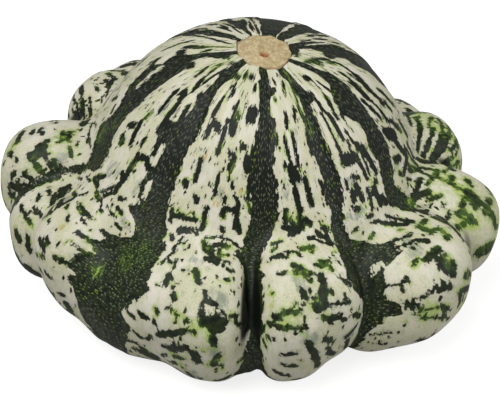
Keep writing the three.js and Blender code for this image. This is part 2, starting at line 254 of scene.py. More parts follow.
# Dark marks between the stripes: turn and level of one end, of the other, and half width.
MARKS = (
    # between the stripes at 188 and 226
    (197.3, 8.2, 200.8, 9.9, 0.9), (204, 7.3, 206.5, 8.3, 0.8), (207, 9.6, 211.5, 11.6, 1.1),
    (212, 6.5, 211.8, 9.6, 1.2), (199.5, 6.4, 203.5, 6.4, 0.6), (184.5, 10.3, 189.3, 10.5, 0.9),
    (202.5, 14, 206, 18, 0.9), (206.5, 13.2, 210, 13.8, 1.2), (211, 15, 213.5, 20, 1.5),
    (202.7, 19, 201.8, 21.5, 0.7), (202, 22, 204.5, 25.5, 1.2), (197, 24, 200, 23, 0.9),
    (198, 26.5, 200, 27.2, 1.3), (209.8, 23, 210, 24.2, 0.9), (211.5, 26, 212.5, 31, 1.2),
    (212, 26.5, 216, 25.5, 0.9), (216.7, 25.6, 220.5, 26.8, 1.1), (210.3, 31, 212.5, 32, 1),
    (212, 31, 212.3, 35, 1), (217, 21, 218, 23.5, 1.2), (218, 14.5, 221, 17, 1.4),
    (217.5, 11.8, 220, 12, 0.9), (214, 19.3, 221, 19.3, 2.4), (205, 5.2, 213, 5, 0.4),
    (158.2, 16, 153.3, 11, 0.6), (143.2, 13.5, 150.7, 8, 0.6), (150.7, 8, 158.4, 4.5, 0.9),
    (144.2, 9, 144.9, 4, 1.5), (168, 4.5, 166, 7, 1), (155, 22, 158, 27, 0.8),
    (160, 30, 165, 33, 0.9), (156, 20, 161, 22, 0.5), (170.5, 7.2, 173.5, 8.1, 0.9),
    (162, 11, 166, 8.5, 1.8), (165, 12, 172, 11.8, 1), (167.5, 17, 171, 17.3, 0.8),
    (171.5, 27.8, 174.5, 26, 0.8), (178.5, 26.5, 179.8, 27.8, 0.7), (166, 16.3, 170.5, 17.5, 0.8),
    (170.5, 36.3, 175.5, 34.5, 0.4),
    # between the stripes at 226 and 270
    (239.5, 5.2, 245, 5.8, 0.9), (249, 5.5, 253, 5.5, 0.8), (229, 6.3, 237.5, 6.3, 0.6),
    (234.5, 8.2, 238, 7.9, 0.6), (238, 8, 241, 9, 0.8), (239.5, 8.5, 239.5, 9.8, 0.8),
    (235.7, 10.5, 235.8, 13.3, 1.2), (238, 15, 238.6, 16.4, 1.4), (239, 14.4, 243.5, 15, 1.1),
    (248.7, 10.3, 249, 11.5, 0.9), (249, 12.3, 250.3, 13.3, 1.5), (246.5, 11.1, 250, 11.5, 0.5),
    (250.5, 11.5, 253.5, 12.5, 0.6), (245.5, 13.4, 249, 13.4, 0.4), (254.8, 10.1, 257, 10.1, 0.4),
    (250.3, 13.8, 252, 14.4, 1.8), (247, 15, 247.5, 18.3, 1.3), (260, 11.7, 263.6, 11.6, 2.1),
    (259, 7.2, 260.7, 7.2, 1.1), (253.5, 18.2, 254, 18.6, 0.9), (256.7, 19, 255.3, 20.4, 1.4),
    (259, 17, 261, 16.8, 0.9), (262.8, 19, 263.8, 20.2, 1.7), (255.7, 21.5, 256, 22.5, 0.6),
    (251, 22, 251.3, 25.8, 0.8), (237.5, 25.2, 238.4, 25.8, 1.1), (240.7, 20.8, 241.4, 24.3, 1),
    (244, 27.3, 244.8, 28, 1), (249.5, 29, 250, 33.5, 0.9), (255.7, 25.9, 256.1, 27, 0.7),
    (256.4, 28.7, 256.4, 29.8, 1.1), (257.7, 28.3, 260, 28.3, 0.9), (259.5, 25.4, 261.3, 26.2, 0.6),
    (261.6, 26.8, 261.8, 29, 1), (261.4, 29.8, 261.8, 32, 0.8), (262.6, 30.2, 264, 33, 0.8),
    (238.5, 32.5, 241, 32, 1), (242, 32.3, 246.8, 32, 0.9), (242, 35.8, 247, 34.5, 0.6),
    (257, 32.7, 257.5, 33.2, 0.9), (257.8, 23, 258.2, 23.8, 0.7), (248, 35, 249, 35, 0.7),
    (236.5, 31, 238, 34, 0.6), (265.2, 23.5, 265.5, 25.5, 0.8), (266, 26.5, 267, 28, 0.9),
    (264.8, 16.5, 265.3, 18.5, 0.7),
    # between the stripes at 270 and 304
    (282, 5.6, 285.3, 6.2, 0.6), (290.5, 8.2, 293, 7.6, 0.6), (292.5, 7.3, 295.5, 6.4, 0.8),
    (287, 11.9, 286.2, 12.9, 1.3), (292.8, 12.3, 294.5, 11, 0.9), (280, 8.9, 281.6, 8.9, 0.5),
    (290.5, 4.7, 293, 4.8, 0.3), (300.5, 8.6, 297.9, 12.5, 0.7), (283.6, 15.3, 284.2, 18, 0.9),
    (284.2, 20, 285, 22, 1.2), (288.5, 14.8, 288.8, 20, 0.8), (285, 20, 287.8, 21.5, 1.5),
    (286, 24, 287, 27.6, 1.3), (291, 22.5, 292.2, 27, 1.2), (281.5, 28, 281, 30, 1),
    (283, 29.8, 284.3, 31.5, 1), (283, 33, 287, 31.5, 1.3), (289, 30, 290.5, 31, 1.1),
    (287, 28, 286.6, 30.3, 0.9), (292.5, 33, 294, 34.4, 0.8), (295.5, 32.5, 295.8, 36, 1),
    (280, 31.5, 283, 31.8, 0.8), (289, 34.5, 290.3, 34.3, 0.8), (298, 23.3, 298.2, 25.5, 0.8),
    (277.3, 14, 279, 15.5, 0.9), (282, 19.3, 282.5, 19.8, 0.8), (298.5, 11.5, 300, 14.5, 1.2),
    (296.5, 16, 297, 18, 0.9),
    # between the stripes at 304 and 335
    (312.4, 13, 311.6, 20, 0.8), (316.5, 14, 316.4, 17.3, 1.3), (323, 7, 327.5, 7.4, 1),
    (321.5, 7.3, 322.5, 6.6, 0.6), (315.5, 10, 314.8, 12.2, 1.3), (326.4, 8.3, 326, 9.6, 0.5),
    (322, 12.6, 324.6, 11.1, 1), (330.3, 8.8, 331.3, 11, 0.8), (321.5, 12.8, 320.5, 14.5, 0.9),
    (311.5, 21, 317.5, 21.5, 1.7), (319.3, 21.5, 319.6, 26, 0.8), (313.5, 26.3, 314, 29, 1.2),
    (311, 27, 310, 28.5, 1.1), (313.5, 33, 315.5, 33.2, 0.8), (318, 28, 316.6, 32, 0.8),
    (321, 29, 321.2, 32, 1.2), (323, 31, 323.7, 32.5, 1.2), (323, 20, 321.8, 25.5, 0.7),
    (320.5, 17.3, 321.5, 20.5, 0.7), (324.8, 21, 325.5, 26, 1.3), (313, 24.4, 316, 24.9, 0.6),
    (323.5, 27.4, 319.5, 29, 0.9), (309, 30.6, 311, 30.4, 0.8), (317.5, 20, 319, 18.3, 0.5),
    (326.5, 14, 324, 15, 0.9), (309.5, 24.5, 309, 26, 0.5),
    # right of the stripe at 335
    (347.5, 5.7, 361, 6.9, 0.9), (351.5, 7.3, 358, 7.4, 0.8), (361.5, 7.4, 365.5, 8.6, 1),
    (355.2, 11, 353, 13.8, 0.9), (351, 13.5, 349.5, 16, 1.8), (365.2, 10.2, 361, 13.5, 0.9),
    (358.8, 12, 357.2, 14.3, 0.6), (360.3, 9.2, 364, 9.5, 0.8), (356, 16.4, 361, 14, 1.5),
    (345, 16, 346, 20, 1.2), (350, 17.5, 349.5, 22, 0.9), (356.7, 18, 355.5, 19.6, 1.2),
    (358, 20.3, 358.2, 22, 1), (343, 22.6, 348, 24.5, 2), (346, 26, 349, 30.5, 1.5),
    (352, 23, 355, 26, 1.3), (339, 27.7, 343, 28.3, 1.2), (341, 31.5, 348, 31, 1.2),
    (351, 29, 354, 36, 0.8), (347, 32, 352, 37, 0.8), (359, 26, 359.5, 29.5, 1.4),
    (363, 19, 364, 23, 1.2), (352, 4, 366, 4.1, 0.5), (338, 30.5, 339, 31, 1), (355, 30, 356, 35, 1),
    # lobe at 148
    (147, 35.7, 150.5, 35.6, 0.9), (151, 35.3, 157, 35, 0.4), (155.5, 36.2, 159.5, 36.2, 0.4),
    (144.8, 38.3, 146, 36.3, 0.5), (148.5, 37.2, 149.5, 37, 0.5), (151.3, 38.4, 153.6, 37.6, 0.4),
    (148, 39.2, 149, 39.2, 0.3), (150.5, 42, 153, 41.2, 0.7), (156.5, 41.6, 158.5, 42, 0.8),
    (154, 41.2, 156, 41.2, 0.4), (158.5, 42.5, 161.5, 42.8, 0.6), (155.5, 39.4, 159, 39.8, 0.4),
    (159.5, 40.2, 163, 40.2, 0.9), (152.5, 43.7, 155, 43.4, 0.4), (156, 43, 160, 44.5, 0.5),
    (156, 44.8, 158, 44.9, 0.5), (141, 38, 143, 42, 0.5), (138.5, 36, 138, 40, 0.7),
    # lobe at 175
    (166.5, 40, 168.5, 40, 1.6), (170, 37.3, 176, 37.6, 0.45), (176, 37.6, 184, 36.7, 0.4),
    (178, 38, 179.7, 38, 0.6), (171.7, 40, 172.5, 40, 0.35), (173.7, 42.2, 177, 42.4, 0.75),
    (174, 43.4, 177, 43.5, 0.7), (179.8, 42.2, 183, 42.4, 0.4), (178, 40.3, 180, 40.7, 0.3),
    (176.8, 45.7, 178, 46.3, 0.5), (178.3, 46.5, 179.8, 47.7, 0.9), (180, 46.7, 184, 46.8, 0.4),
    (182.5, 45.8, 186, 45.8, 0.6), (179.3, 48.5, 185, 48.3, 0.5), (173.2, 47, 175, 46.5, 0.4),
    (173.5, 48, 174.8, 48, 0.35), (173.4, 49.4, 175.4, 49.6, 0.45), (177, 50.7, 177.8, 50.4, 0.4),
    (178.7, 50.1, 179, 50.1, 0.3), (180.2, 51.3, 180.4, 51.7, 0.5), (182, 50.4, 186, 50.4, 0.4),
    (182, 51.9, 186, 51.5, 0.3), (181, 53, 185, 53, 0.6), (181.5, 54.3, 184, 54.6, 0.5),
    (170.3, 45.5, 170.4, 45.7, 0.5), (176, 53.5, 178, 55, 0.6), (178, 57.5, 181, 58.5, 0.9),
    # lobe at 191
    (190, 42.8, 193, 41.6, 0.35), (195, 39.7, 199, 38.8, 0.4), (199.5, 37.5, 204, 37.5, 0.9),
    (201, 36.5, 203.5, 35, 1), (190.5, 45.2, 192.5, 45.2, 0.6), (191.5, 46.5, 194, 47, 1.2),
    (193, 48.3, 195.5, 48.8, 0.8), (189, 48.8, 192, 49, 0.4), (195.5, 44.3, 200.5, 43.3, 0.6),
    (197, 46.8, 201, 47, 1), (198.5, 48.7, 200.5, 49, 0.7), (201, 42.6, 202.8, 40.5, 0.35),
    (201.3, 44, 201.8, 49, 0.3), (201.8, 49, 200.5, 50.5, 0.3), (193.5, 52, 197, 51.5, 0.5),
    (190, 53.4, 193.8, 53.5, 0.3), (194.5, 53.5, 196.5, 53.8, 0.3), (193, 56, 194.3, 56.7, 0.6),
    (196.3, 55.5, 197.3, 57.8, 0.6), (190, 50.3, 192, 51, 0.4), (191, 59, 193, 60, 0.7),
    (194, 61, 197, 62, 1), (192, 65, 196, 64, 0.9), (199, 62, 202, 63, 0.6),
    # lobe at 208
    (210, 34.5, 207, 37.5, 0.5), (212.3, 34.5, 209.5, 37.6, 0.6), (205.8, 38.5, 208.5, 39, 0.9),
    (209.5, 38.4, 211.5, 39.4, 0.3), (215.5, 35.2, 217, 35, 0.7), (217.8, 34.5, 218.5, 34.5, 0.4),
    (217.5, 37.1, 220, 37.5, 0.7), (222, 35, 224.5, 35.8, 0.8), (213, 38.6, 218.8, 39.3, 0.3),
    (219.8, 40.1, 222.8, 40.5, 0.5), (212.3, 40.2, 213.3, 40.3, 0.5), (205.3, 43.1, 212, 42.9, 0.5),
    (206, 43.8, 210, 43.6, 0.4), (210.5, 44.5, 212.8, 44.6, 0.35), (217.3, 43.3, 221, 43.3, 0.6),
    (212.5, 46.8, 218, 46.5, 0.5), (213.5, 48.7, 217.5, 49, 0.35), (203.3, 45.3, 203.8, 45.7, 0.35),
    (207, 46.2, 208.5, 46.8, 0.4), (207, 51, 208.5, 51.2, 0.5), (205, 52.3, 208, 52.4, 0.5),
    (211.3, 52.2, 213.5, 52, 0.6), (209, 55.8, 211.3, 55.9, 0.5), (204.5, 54.8, 209, 53.5, 0.35),
    (203.5, 49.3, 204.2, 49.3, 0.25), (207, 60, 210, 60, 0.7), (212, 63, 216, 62, 0.8),
    (205, 57.3, 207, 57, 0.5), (213, 58.5, 215, 58.3, 0.5), (203, 64, 207, 65, 0.7),
    # lobe at 244 to 258
    (240.5, 36.9, 241.3, 37.7, 0.7), (242, 34.9, 245.5, 34.4, 0.7), (246, 34.2, 250, 34, 0.5),
    (252, 35.6, 257, 34.8, 0.35), (257, 34.8, 261, 35.2, 0.35), (261, 35.2, 265.5, 37.2, 0.35),
    (264, 38, 265.5, 39.4, 0.9), (263.4, 39.1, 264.5, 39.6, 0.5), (252, 36.7, 253.3, 38.8, 0.8),
    (254.4, 38, 256, 40.5, 1.1), (256, 37, 259, 36.7, 0.9), (257.6, 38, 257.8, 39.5, 0.7),
    (254.5, 41, 257.5, 41.4, 0.9), (257.8, 40, 257.3, 42, 0.4), (259, 41.2, 261, 41.1, 0.4),
    (261, 36.8, 260.2, 37.4, 0.5), (259, 39.6, 261, 39.3, 0.4), (260.3, 42.7, 262.5, 43.2, 0.5),
    (259.8, 44.9, 260.6, 44.9, 0.5), (252.5, 43.8, 253, 44.3, 0.7), (253, 44.5, 253.9, 45.8, 0.6),
    (244.6, 36.6, 243.4, 39.8, 0.35), (244.2, 40.5, 242.4, 43.8, 0.35), (246.7, 37.3, 245.7, 38, 0.3),
    (247.8, 38.3, 248, 38.8, 0.4), (247.2, 39.4, 247, 39.8, 0.3), (246.2, 42.2, 246.7, 44, 0.45),
    (244.7, 42.8, 245.5, 43.1, 0.5), (246.3, 45.5, 247, 45.7, 0.6), (246.3, 46.2, 246.5, 46.9, 0.6),
    (244.5, 47.5, 246.5, 47.2, 0.3), (249.6, 46.3, 248.5, 47, 0.3), (248.5, 47, 248.7, 48.2, 0.3),
    (248.8, 48.3, 250, 48.8, 0.3), (249.3, 44, 250.2, 43.7, 0.3), (251.5, 44.2, 251.6, 44.2, 0.25),
    (245.8, 50.8, 246.8, 51.2, 0.4), (246, 52.7, 246.3, 53.3, 0.4), (242, 52.2, 243, 52.5, 0.4),
    (243, 52.7, 244.4, 52.5, 0.4), (248.5, 50.2, 249.5, 50, 0.3), (251, 50.5, 251.2, 50.5, 0.35),
    (252.6, 50.7, 254, 51.2, 0.3), (255.5, 47, 255.7, 50.5, 0.35), (256.7, 48.4, 257.7, 48.6, 0.5),
    (256.3, 50.7, 260, 50.6, 0.8), (257.5, 51.3, 259.5, 51.4, 0.6), (258.3, 49.8, 259.3, 49.8, 0.5),
    (261, 50, 263.3, 50.1, 0.4), (262.5, 50.8, 265, 51.7, 0.3), (258, 52.3, 258.5, 53.2, 0.6),
    (247, 54.7, 250, 53.4, 0.7), (250.5, 53.3, 252.5, 52.3, 0.7), (252.5, 52.2, 254.7, 52.1, 0.4),
    (248, 56.8, 251, 56, 0.6), (251, 55.6, 253.5, 54.4, 0.7), (250.5, 58, 253, 56.8, 0.4),
    (246.8, 60, 248.5, 58.7, 0.4), (249, 60.5, 251, 59.5, 0.4), (255, 55, 255.8, 56.7, 0.8),
    (256, 55.8, 256.2, 56.8, 0.5), (258.8, 56.9, 259.8, 54.8, 0.6), (259, 57.2, 260, 57.1, 0.5),
    (267.5, 53.2, 269, 52.6, 0.4), (268.7, 55.8, 267.8, 57.5, 0.4), (265.5, 58.5, 267.5, 58, 0.4),
    (243.5, 57, 245, 55.8, 0.5), (240, 56.2, 241.5, 57.2, 0.5), (237, 59.3, 240, 59.3, 0.5),
    (238.5, 53, 241, 53.5, 0.4), (264, 45.8, 264.3, 46, 0.25), (241, 61, 245, 61.5, 0.5),
    (254, 60.5, 255, 62, 0.5), (251.5, 62, 256, 63, 0.8), (260, 61.5, 263, 61, 0.5),
    (246, 63, 250, 62.5, 0.6),
    # lobe at 282 to 292
    (275.8, 35.3, 279.3, 34.7, 0.5), (276, 37.3, 277.5, 36.3, 0.5), (277.6, 38.8, 279, 38.3, 0.8),
    (279.5, 38.7, 280.5, 38.9, 0.7), (280, 37.7, 283.5, 37.8, 0.5), (283.8, 38, 284.6, 38.8, 0.5),
    (275.3, 40, 277, 38.6, 0.3), (278.8, 42.3, 281, 42.2, 0.4), (282.5, 40.7, 284.5, 41.5, 0.7),
    (283, 42.2, 286, 42.3, 0.7), (285.5, 42.6, 285.6, 43.6, 0.4), (288, 41, 290.5, 40.8, 0.6),
    (289.5, 40, 291.8, 40.3, 0.5), (291.3, 41.3, 291.4, 42, 0.4), (285.5, 37, 288.5, 36.6, 0.8),
    (288, 38, 289.5, 36.5, 0.4), (288.4, 42.7, 288.2, 45.5, 0.8), (287.5, 45.5, 288, 46.8, 0.8),
    (288.5, 47.2, 290, 47.2, 0.35), (290.5, 47, 291.5, 47, 0.35), (292.7, 46.8, 293.3, 47.2, 0.5),
    (293.7, 44.2, 294.6, 44.6, 0.5), (283.8, 45, 284.3, 46, 0.6), (286, 47, 287.3, 47.3, 0.5),
    (286.2, 47.5, 286.8, 49, 0.4), (287.7, 48.6, 290, 49, 0.6), (289.5, 49.3, 291.7, 48.7, 0.5),
    (280.5, 47.8, 283.3, 47.7, 0.5), (279, 48.5, 279.8, 48.5, 0.6), (277.5, 49.6, 281, 49.4, 0.4),
    (281.5, 49.4, 284.2, 49.4, 0.4), (277.5, 51.5, 278.8, 51.2, 0.4), (284.7, 51.2, 286.5, 53.5, 0.6),
    (286.5, 53.5, 288.5, 57.5, 0.7), (287, 51, 290, 52.5, 0.6), (292, 49.5, 293.2, 49.6, 0.4),
    (289.3, 53.5, 290.5, 54.5, 0.4), (290.5, 55.2, 293.5, 57.5, 0.6), (295, 53.5, 298, 51.8, 0.7),
    (296.5, 55, 297.5, 57.5, 0.8), (295.2, 49.2, 299, 50.4, 0.6), (280.5, 53.2, 282.7, 52.8, 0.4),
    (276, 52.5, 276.8, 53.3, 0.4), (280.5, 55.2, 283, 55.5, 0.4), (293.9, 39, 294.4, 41, 0.3),
    (290, 34.4, 294.5, 36.2, 0.35), (292, 34, 296, 35.5, 0.35), (279, 57.5, 282, 58, 0.5),
    (276, 60.5, 281, 61.5, 0.6), (284, 60, 287, 61.5, 0.7), (290, 60.5, 294, 61.5, 0.7),
    (286, 46, 286.2, 47, 0.3), (277.6, 45.6, 277.9, 45.6, 0.25), (292.5, 43.2, 293, 43.3, 0.25),
    # lobe at 324
    (313.8, 34.5, 318, 35.2, 0.4), (318.5, 35.8, 321, 37, 0.7), (322, 37.3, 324.8, 39, 0.8),
    (321.5, 35, 325, 37.3, 0.5), (325.5, 37.8, 327.3, 39.8, 0.7), (311.3, 37.7, 313.5, 37, 0.5),
    (321.5, 39.2, 322.7, 39.2, 0.35), (317, 40.5, 322.5, 41.3, 0.4), (321.5, 41.3, 322.7, 41.3, 0.5),
    (316.5, 42, 320.5, 42.4, 0.35), (320.5, 42.3, 322.5, 42.5, 0.4), (323, 43.2, 323.7, 43.7, 0.6),
    (317.7, 45.4, 319.2, 45.2, 0.4), (320.3, 45.6, 323.8, 45.3, 0.6), (322, 45.8, 323, 46.5, 0.5),
    (322, 47, 323, 48, 0.6), (323.3, 46.5, 323.8, 48.5, 0.4), (311, 47.1, 315.5, 47, 0.25),
    (319, 48.7, 322.3, 49.3, 0.4), (313.5, 49.4, 317.5, 49, 0.3), (315, 50, 319, 50.7, 0.25),
    (316, 51, 320, 52, 0.25), (319.5, 50.5, 322.5, 52, 0.25), (320, 52, 322.5, 53, 0.25),
    (306.5, 55, 313, 53.6, 0.25), (310, 56.5, 310.8, 56.5, 0.3), (328.3, 41.2, 330.3, 41.2, 0.6),
    (326.3, 41, 326.5, 42.8, 0.6), (327, 43, 328, 43.4, 0.5), (329.5, 43.8, 327.5, 45.3, 0.45),
    (324.3, 46.3, 324.5, 48, 0.3), (326, 49.5, 328, 50, 0.45), (325.3, 50.8, 327.5, 51.5, 0.5),
    (324.5, 50.5, 325, 52.5, 0.3), (306, 34.7, 308, 34.3, 0.5), (318, 55, 323, 56, 0.6),
    (310, 60, 314, 59, 0.7), (327, 54, 330, 55, 0.7), (314, 57.5, 318, 58, 0.5),
    # lobe at 351
    (338, 37, 347, 37.2, 0.8), (341, 38.3, 343.7, 39.5, 1.2), (334.5, 38, 339.5, 38.2, 0.6),
    (341.5, 40.4, 344.2, 41.8, 0.7), (334, 40.6, 340.5, 40.8, 0.5), (346, 38.9, 349.5, 39.5, 0.6),
    (345.5, 37, 348.3, 37.5, 0.5), (350.7, 37, 350.6, 41, 0.4), (350.6, 41, 349, 43.5, 0.5),
    (348.9, 43.5, 348.6, 46, 0.5), (348.3, 46.5, 347.5, 49.3, 0.4), (345, 45, 349.5, 45.3, 0.5),
    (342.3, 45.3, 344, 45.3, 0.6), (343.5, 46, 343.8, 47, 0.8), (346.6, 46.3, 347.7, 46.3, 0.6),
    (347, 47.6, 350, 47.8, 0.4), (339, 46.4, 342, 46.6, 0.6), (339, 44.3, 341.2, 44.2, 0.5),
    (343.8, 50.9, 346, 50.8, 1), (351.3, 40.5, 353.7, 40.5, 0.8), (353.7, 37.5, 353.9, 39.2, 0.8),
    (350.7, 43, 352.2, 43, 0.6), (353, 41.8, 354.8, 42.3, 0.4), (351.5, 45.3, 352.4, 45.3, 0.6),
    (341, 33.3, 343.8, 34.8, 0.6), (345.5, 33, 349.5, 35.2, 0.9), (349.5, 34, 351, 36, 0.8),
    (351.5, 36, 353, 37, 0.5), (357.5, 36.8, 359.3, 40.6, 1.8), (344.5, 36.3, 346, 36.4, 0.4),
    (341.5, 42.7, 342.7, 42.9, 0.4), (352.5, 48, 354, 49, 0.6), (348, 52.5, 351, 53.5, 0.7),
    (355.5, 43.5, 359, 43.3, 0.8), (342, 56, 346, 57, 0.9), (350, 57.5, 354, 56.5, 0.8),
    # lobe at 18
    (376.5, 36, 383.5, 37, 0.6), (365.5, 37.8, 371, 37.5, 0.9), (371, 37.5, 377, 38, 0.8),
    (377, 38.2, 381, 38.2, 0.5), (365, 39.5, 370, 39.5, 0.9), (370, 39.6, 375.5, 40.6, 0.7),
    (365.5, 42, 371, 42, 1.6), (370, 42.4, 374, 42.4, 1.4), (374, 41.8, 380, 43, 0.5),
    (373, 43, 379, 44.3, 0.5), (379.4, 41, 380.6, 41.7, 0.5), (377.5, 38.5, 378.6, 38.6, 0.4),
    (376, 39.7, 378.5, 40.6, 0.3), (371, 44.2, 376, 45.3, 0.35), (366, 44.6, 369, 44.8, 0.6),
    (368, 45.2, 374, 45.4, 0.3), (369.5, 46.5, 371.5, 46.8, 0.4), (380.8, 39, 381.4, 39.5, 0.4),
    (366, 48, 370, 49, 0.8), (374, 48, 379, 49.5, 0.8), (380, 46, 384, 47, 0.7),
    (384, 41, 386, 43.5, 0.6),
)
# Pale marks that break the dark ones, in the same form.
GAPS = (
    (176.5, 15.5, 180, 19.5, 0.9), (220.3, 22.3, 221, 25, 1.2), (223, 28.9, 224.4, 31.1, 1),
    (307.9, 44, 311, 43.6, 0.7), (297, 34, 297.2, 36, 0.5), (286.4, 48, 287.2, 52, 0.35),
    (287.2, 52, 290, 58, 0.35), (385, 6, 392, 12, 0.6), (207.8, 30, 208, 33, 0.6),
    (337, 39.5, 338.5, 40.5, 0.6), (362, 5.5, 375, 5.7, 1), (366, 6.8, 374, 7.6, 0.8),
    (345, 4.5, 361, 5.9, 0.35), (343.5, 3.7, 352, 3.8, 0.4), (346.7, 6.9, 350, 7.2, 0.9),
    (333, 41.6, 341, 42, 0.7), (277.5, 5.4, 280, 6, 0.7), (265.8, 12.2, 265.9, 13.6, 0.8),
    (355.3, 35.5, 355.4, 41, 0.6), (366.5, 38.6, 372, 38.5, 0.5), (372, 38.6, 378, 39.2, 0.4),
    (366.7, 40.6, 372, 40.7, 0.5), (372, 40.8, 378.5, 42, 0.4), (335.5, 39, 340, 39.2, 0.8),
    (366, 43.3, 368.5, 43.5, 0.5), (313, 7, 319.5, 7.8, 1.3), (182.8, 8.6, 186, 8.4, 0.9),
    (191, 4.1, 205, 3.9, 0.5), (310, 19.5, 309, 22, 0.8),
)
# Places where the dark turns to leaf green with lime edges: turn, level, reach, strength. The
# green is gone and whole at these shares of the reach.
GREEN_FALL = (1.3, 0.3)
GREENS = (
    (232, 44, 7, 0.45), (184, 32, 4, 0.7), (188, 27, 3, 0.4), (300, 8, 4, 0.9), (300, 14, 3, 0.6),
    (283.5, 41.8, 3.5, 1), (287.5, 37, 3, 1), (290.3, 41, 3, 1), (276.5, 37, 2, 0.8),
    (281.5, 48, 2.6, 0.8), (252, 37, 2.2, 0.9), (260.6, 37, 2, 1), (259.5, 39.6, 2, 0.9),
    (312.3, 37.3, 1.8, 1), (322, 39.2, 1.5, 1), (329, 44.5, 2, 1), (324.3, 47, 1.5, 1),
    (207, 38.7, 1.8, 0.9), (216.5, 47.3, 1.5, 0.9), (223.5, 50.6, 2.5, 1), (328, 42, 3, 0.9),
    (307, 36, 2.5, 0.9), (349, 43, 7, 1), (343, 46.5, 4, 1), (346, 40, 3, 0.7), (338, 30, 3, 0.8),
    (355, 27, 5, 0.6), (203, 20, 2, 0.9), (198.5, 27, 2, 0.8), (252, 12.5, 2, 0.8),
    (253, 38, 2.5, 0.6), (245, 44, 2, 0.5), (260.5, 56, 1.6, 1), (257, 20.5, 2, 0.5),
    (266, 27, 2, 0.9), (284, 29, 3, 0.9), (218, 48, 2, 0.9), (278, 15, 2, 0.7), (212, 28, 2.5, 0.6),
    (380, 40, 6, 0.9), (376, 43.5, 4, 1), (370, 46.5, 4, 0.9), (353, 41, 4, 0.8), (357, 42.5, 3, 1),
    (350, 50, 6, 0.7), (336, 37.2, 2.5, 1), (362, 9.5, 3, 0.9), (252, 12, 2.4, 1), (281, 9.2, 2.4, 1),
    (299, 11, 3, 0.8), (344, 50, 4, 0.6), (354, 5.2, 8, 0.5), (307, 5, 3, 0.9), (243, 4.4, 6, 0.7),
    (195, 9.5, 4, 0.6), (175.5, 43, 3.5, 0.9), (181.5, 48.5, 2.5, 0.6), (181, 42, 2.5, 0.6),
    (165, 5, 8, 0.8), (200, 4.5, 8, 0.6), (232, 5.5, 6, 0.6), (326.5, 49.7, 2, 0.6),
    (350, 34, 5, 0.6), (180, 45, 3, 0.4),
)
# Bluish shadows of marks that lie under the pale skin, in the form of the dark marks.
SHADOWS = (
    (241, 21, 241.5, 23.6, 1.5), (206.5, 16, 207.7, 17.6, 1.5), (284.3, 15.4, 284, 17, 1.2),
    (286.5, 21.3, 287, 22, 2.2), (257, 47.5, 258.7, 48, 1.5), (283.5, 43, 284.5, 45, 1.4),
    (254, 18, 254.2, 18.6, 1.1), (253.5, 25.3, 254, 26.2, 1.1), (262, 21.5, 264, 21.6, 1),
    (306.5, 31.3, 309, 30.4, 1.2), (313.5, 26, 314, 27, 1.5), (336, 40, 338, 40, 1.2),
    (198, 46, 200.5, 45, 1.6), (225, 39.3, 221.5, 38.5, 1), (295.5, 53, 297.5, 54, 1.7),
    (254, 59.5, 256, 61.5, 1.2), (219.5, 30.3, 220, 32, 1.2), (284, 50.5, 285, 51, 1.6),
    (215, 16, 215.5, 17, 1.1), (291, 14.5, 290, 15.5, 1.4), (182.5, 44, 183.5, 45, 1.6),
    (312, 31, 309, 32, 1.4), (321, 41.5, 320, 44, 1.8), (203, 32, 204.5, 33.5, 1.7),
    (309, 24.8, 312, 25.2, 1.2), (206.5, 31, 207.5, 32, 1.4), (251, 41.5, 253, 42, 1.2),
    (281.5, 23.5, 282, 24.5, 1.4), (338, 28.2, 342, 28.4, 1.6), (258, 54, 259, 54.5, 1.3),
)
# Corky specks: turn, level and radius.
SPECKS = (
    (236.6, 20.2, 0.9), (242, 19.9, 1), (262.3, 24.4, 1), (252.8, 27.7, 1.2), (208.6, 48, 0.8),
)
# The blossom's corky scar underneath: the levels where it begins and is whole.
BLOSSOM_SCAR = (96.4, 97.8)
# Marks round the back and underneath, where they are strewn: how many, between which turns
# and levels, their half widths and lengths, and how steeply they lie.
STREWN = (
    {"count": 190, "turns": (28, 138), "levels": (5, 38), "half_widths": (0.6, 1.5),
     "lengths": (0.5, 3.6), "lean": 80},
    {"count": 130, "turns": (26, 136), "levels": (38, 66), "half_widths": (0.5, 1.4),
     "lengths": (0.4, 4), "lean": 15},
    {"count": 40, "turns": (134, 170), "levels": (46, 66), "half_widths": (0.4, 1.2),
     "lengths": (0.4, 4), "lean": 15},
    {"count": 210, "turns": (168, 386), "levels": (60, 78), "half_widths": (0.6, 1.6),
     "lengths": (0.4, 4.5), "lean": 20},
    {"count": 120, "turns": (26, 386), "levels": (66, 92), "half_widths": (0.7, 2.2),
     "lengths": (0.5, 6), "lean": 80},
)
STREW_SEED = 7
# The turn at which the skin's columns begin and end.
SEAM_TURN = 90
# A depth that lies outside every mark, and how far from a mark depths are still worked out.
OUTSIDE = -6.0
MARK_MARGIN = 3
# How far inside a stripe its furrow begins, and how far inside it is at its full depth.
FURROW_EDGE = (0, 3)

# ---- Grain of the rind and the cork -------------------------------------------------------
# How the rind's cells and noises are stretched, round and down.
BLOCK_SHAPE = (1, 0.6, 1)
STREAK_SHAPE = (1, 0.3, 1)
SMOKE_SHAPE = (1, 0.8, 1)
UPPER_FLECK_SHAPE = (1.15, 0.5, 1)
LOWER_FLECK_SHAPE = (0.6, 1.35, 1)
# Where the crown gives way to the lobes, as levels times TALL.
CROWN_TO_LOBES = (35, 65)
# The height of the fine relief, in metres.
RELIEF_HEIGHT = 0.0006


# ---- Shape: distances to rounded masses, melted together ----------------------------------

def blend(a, b, width):
    """The lesser of two distances, with the crease between them rounded."""
    mix = np.clip(0.5 + 0.5 * (b - a) / width, 0, 1)
    return b + (a - b) * mix - width * mix * (1 - mix)


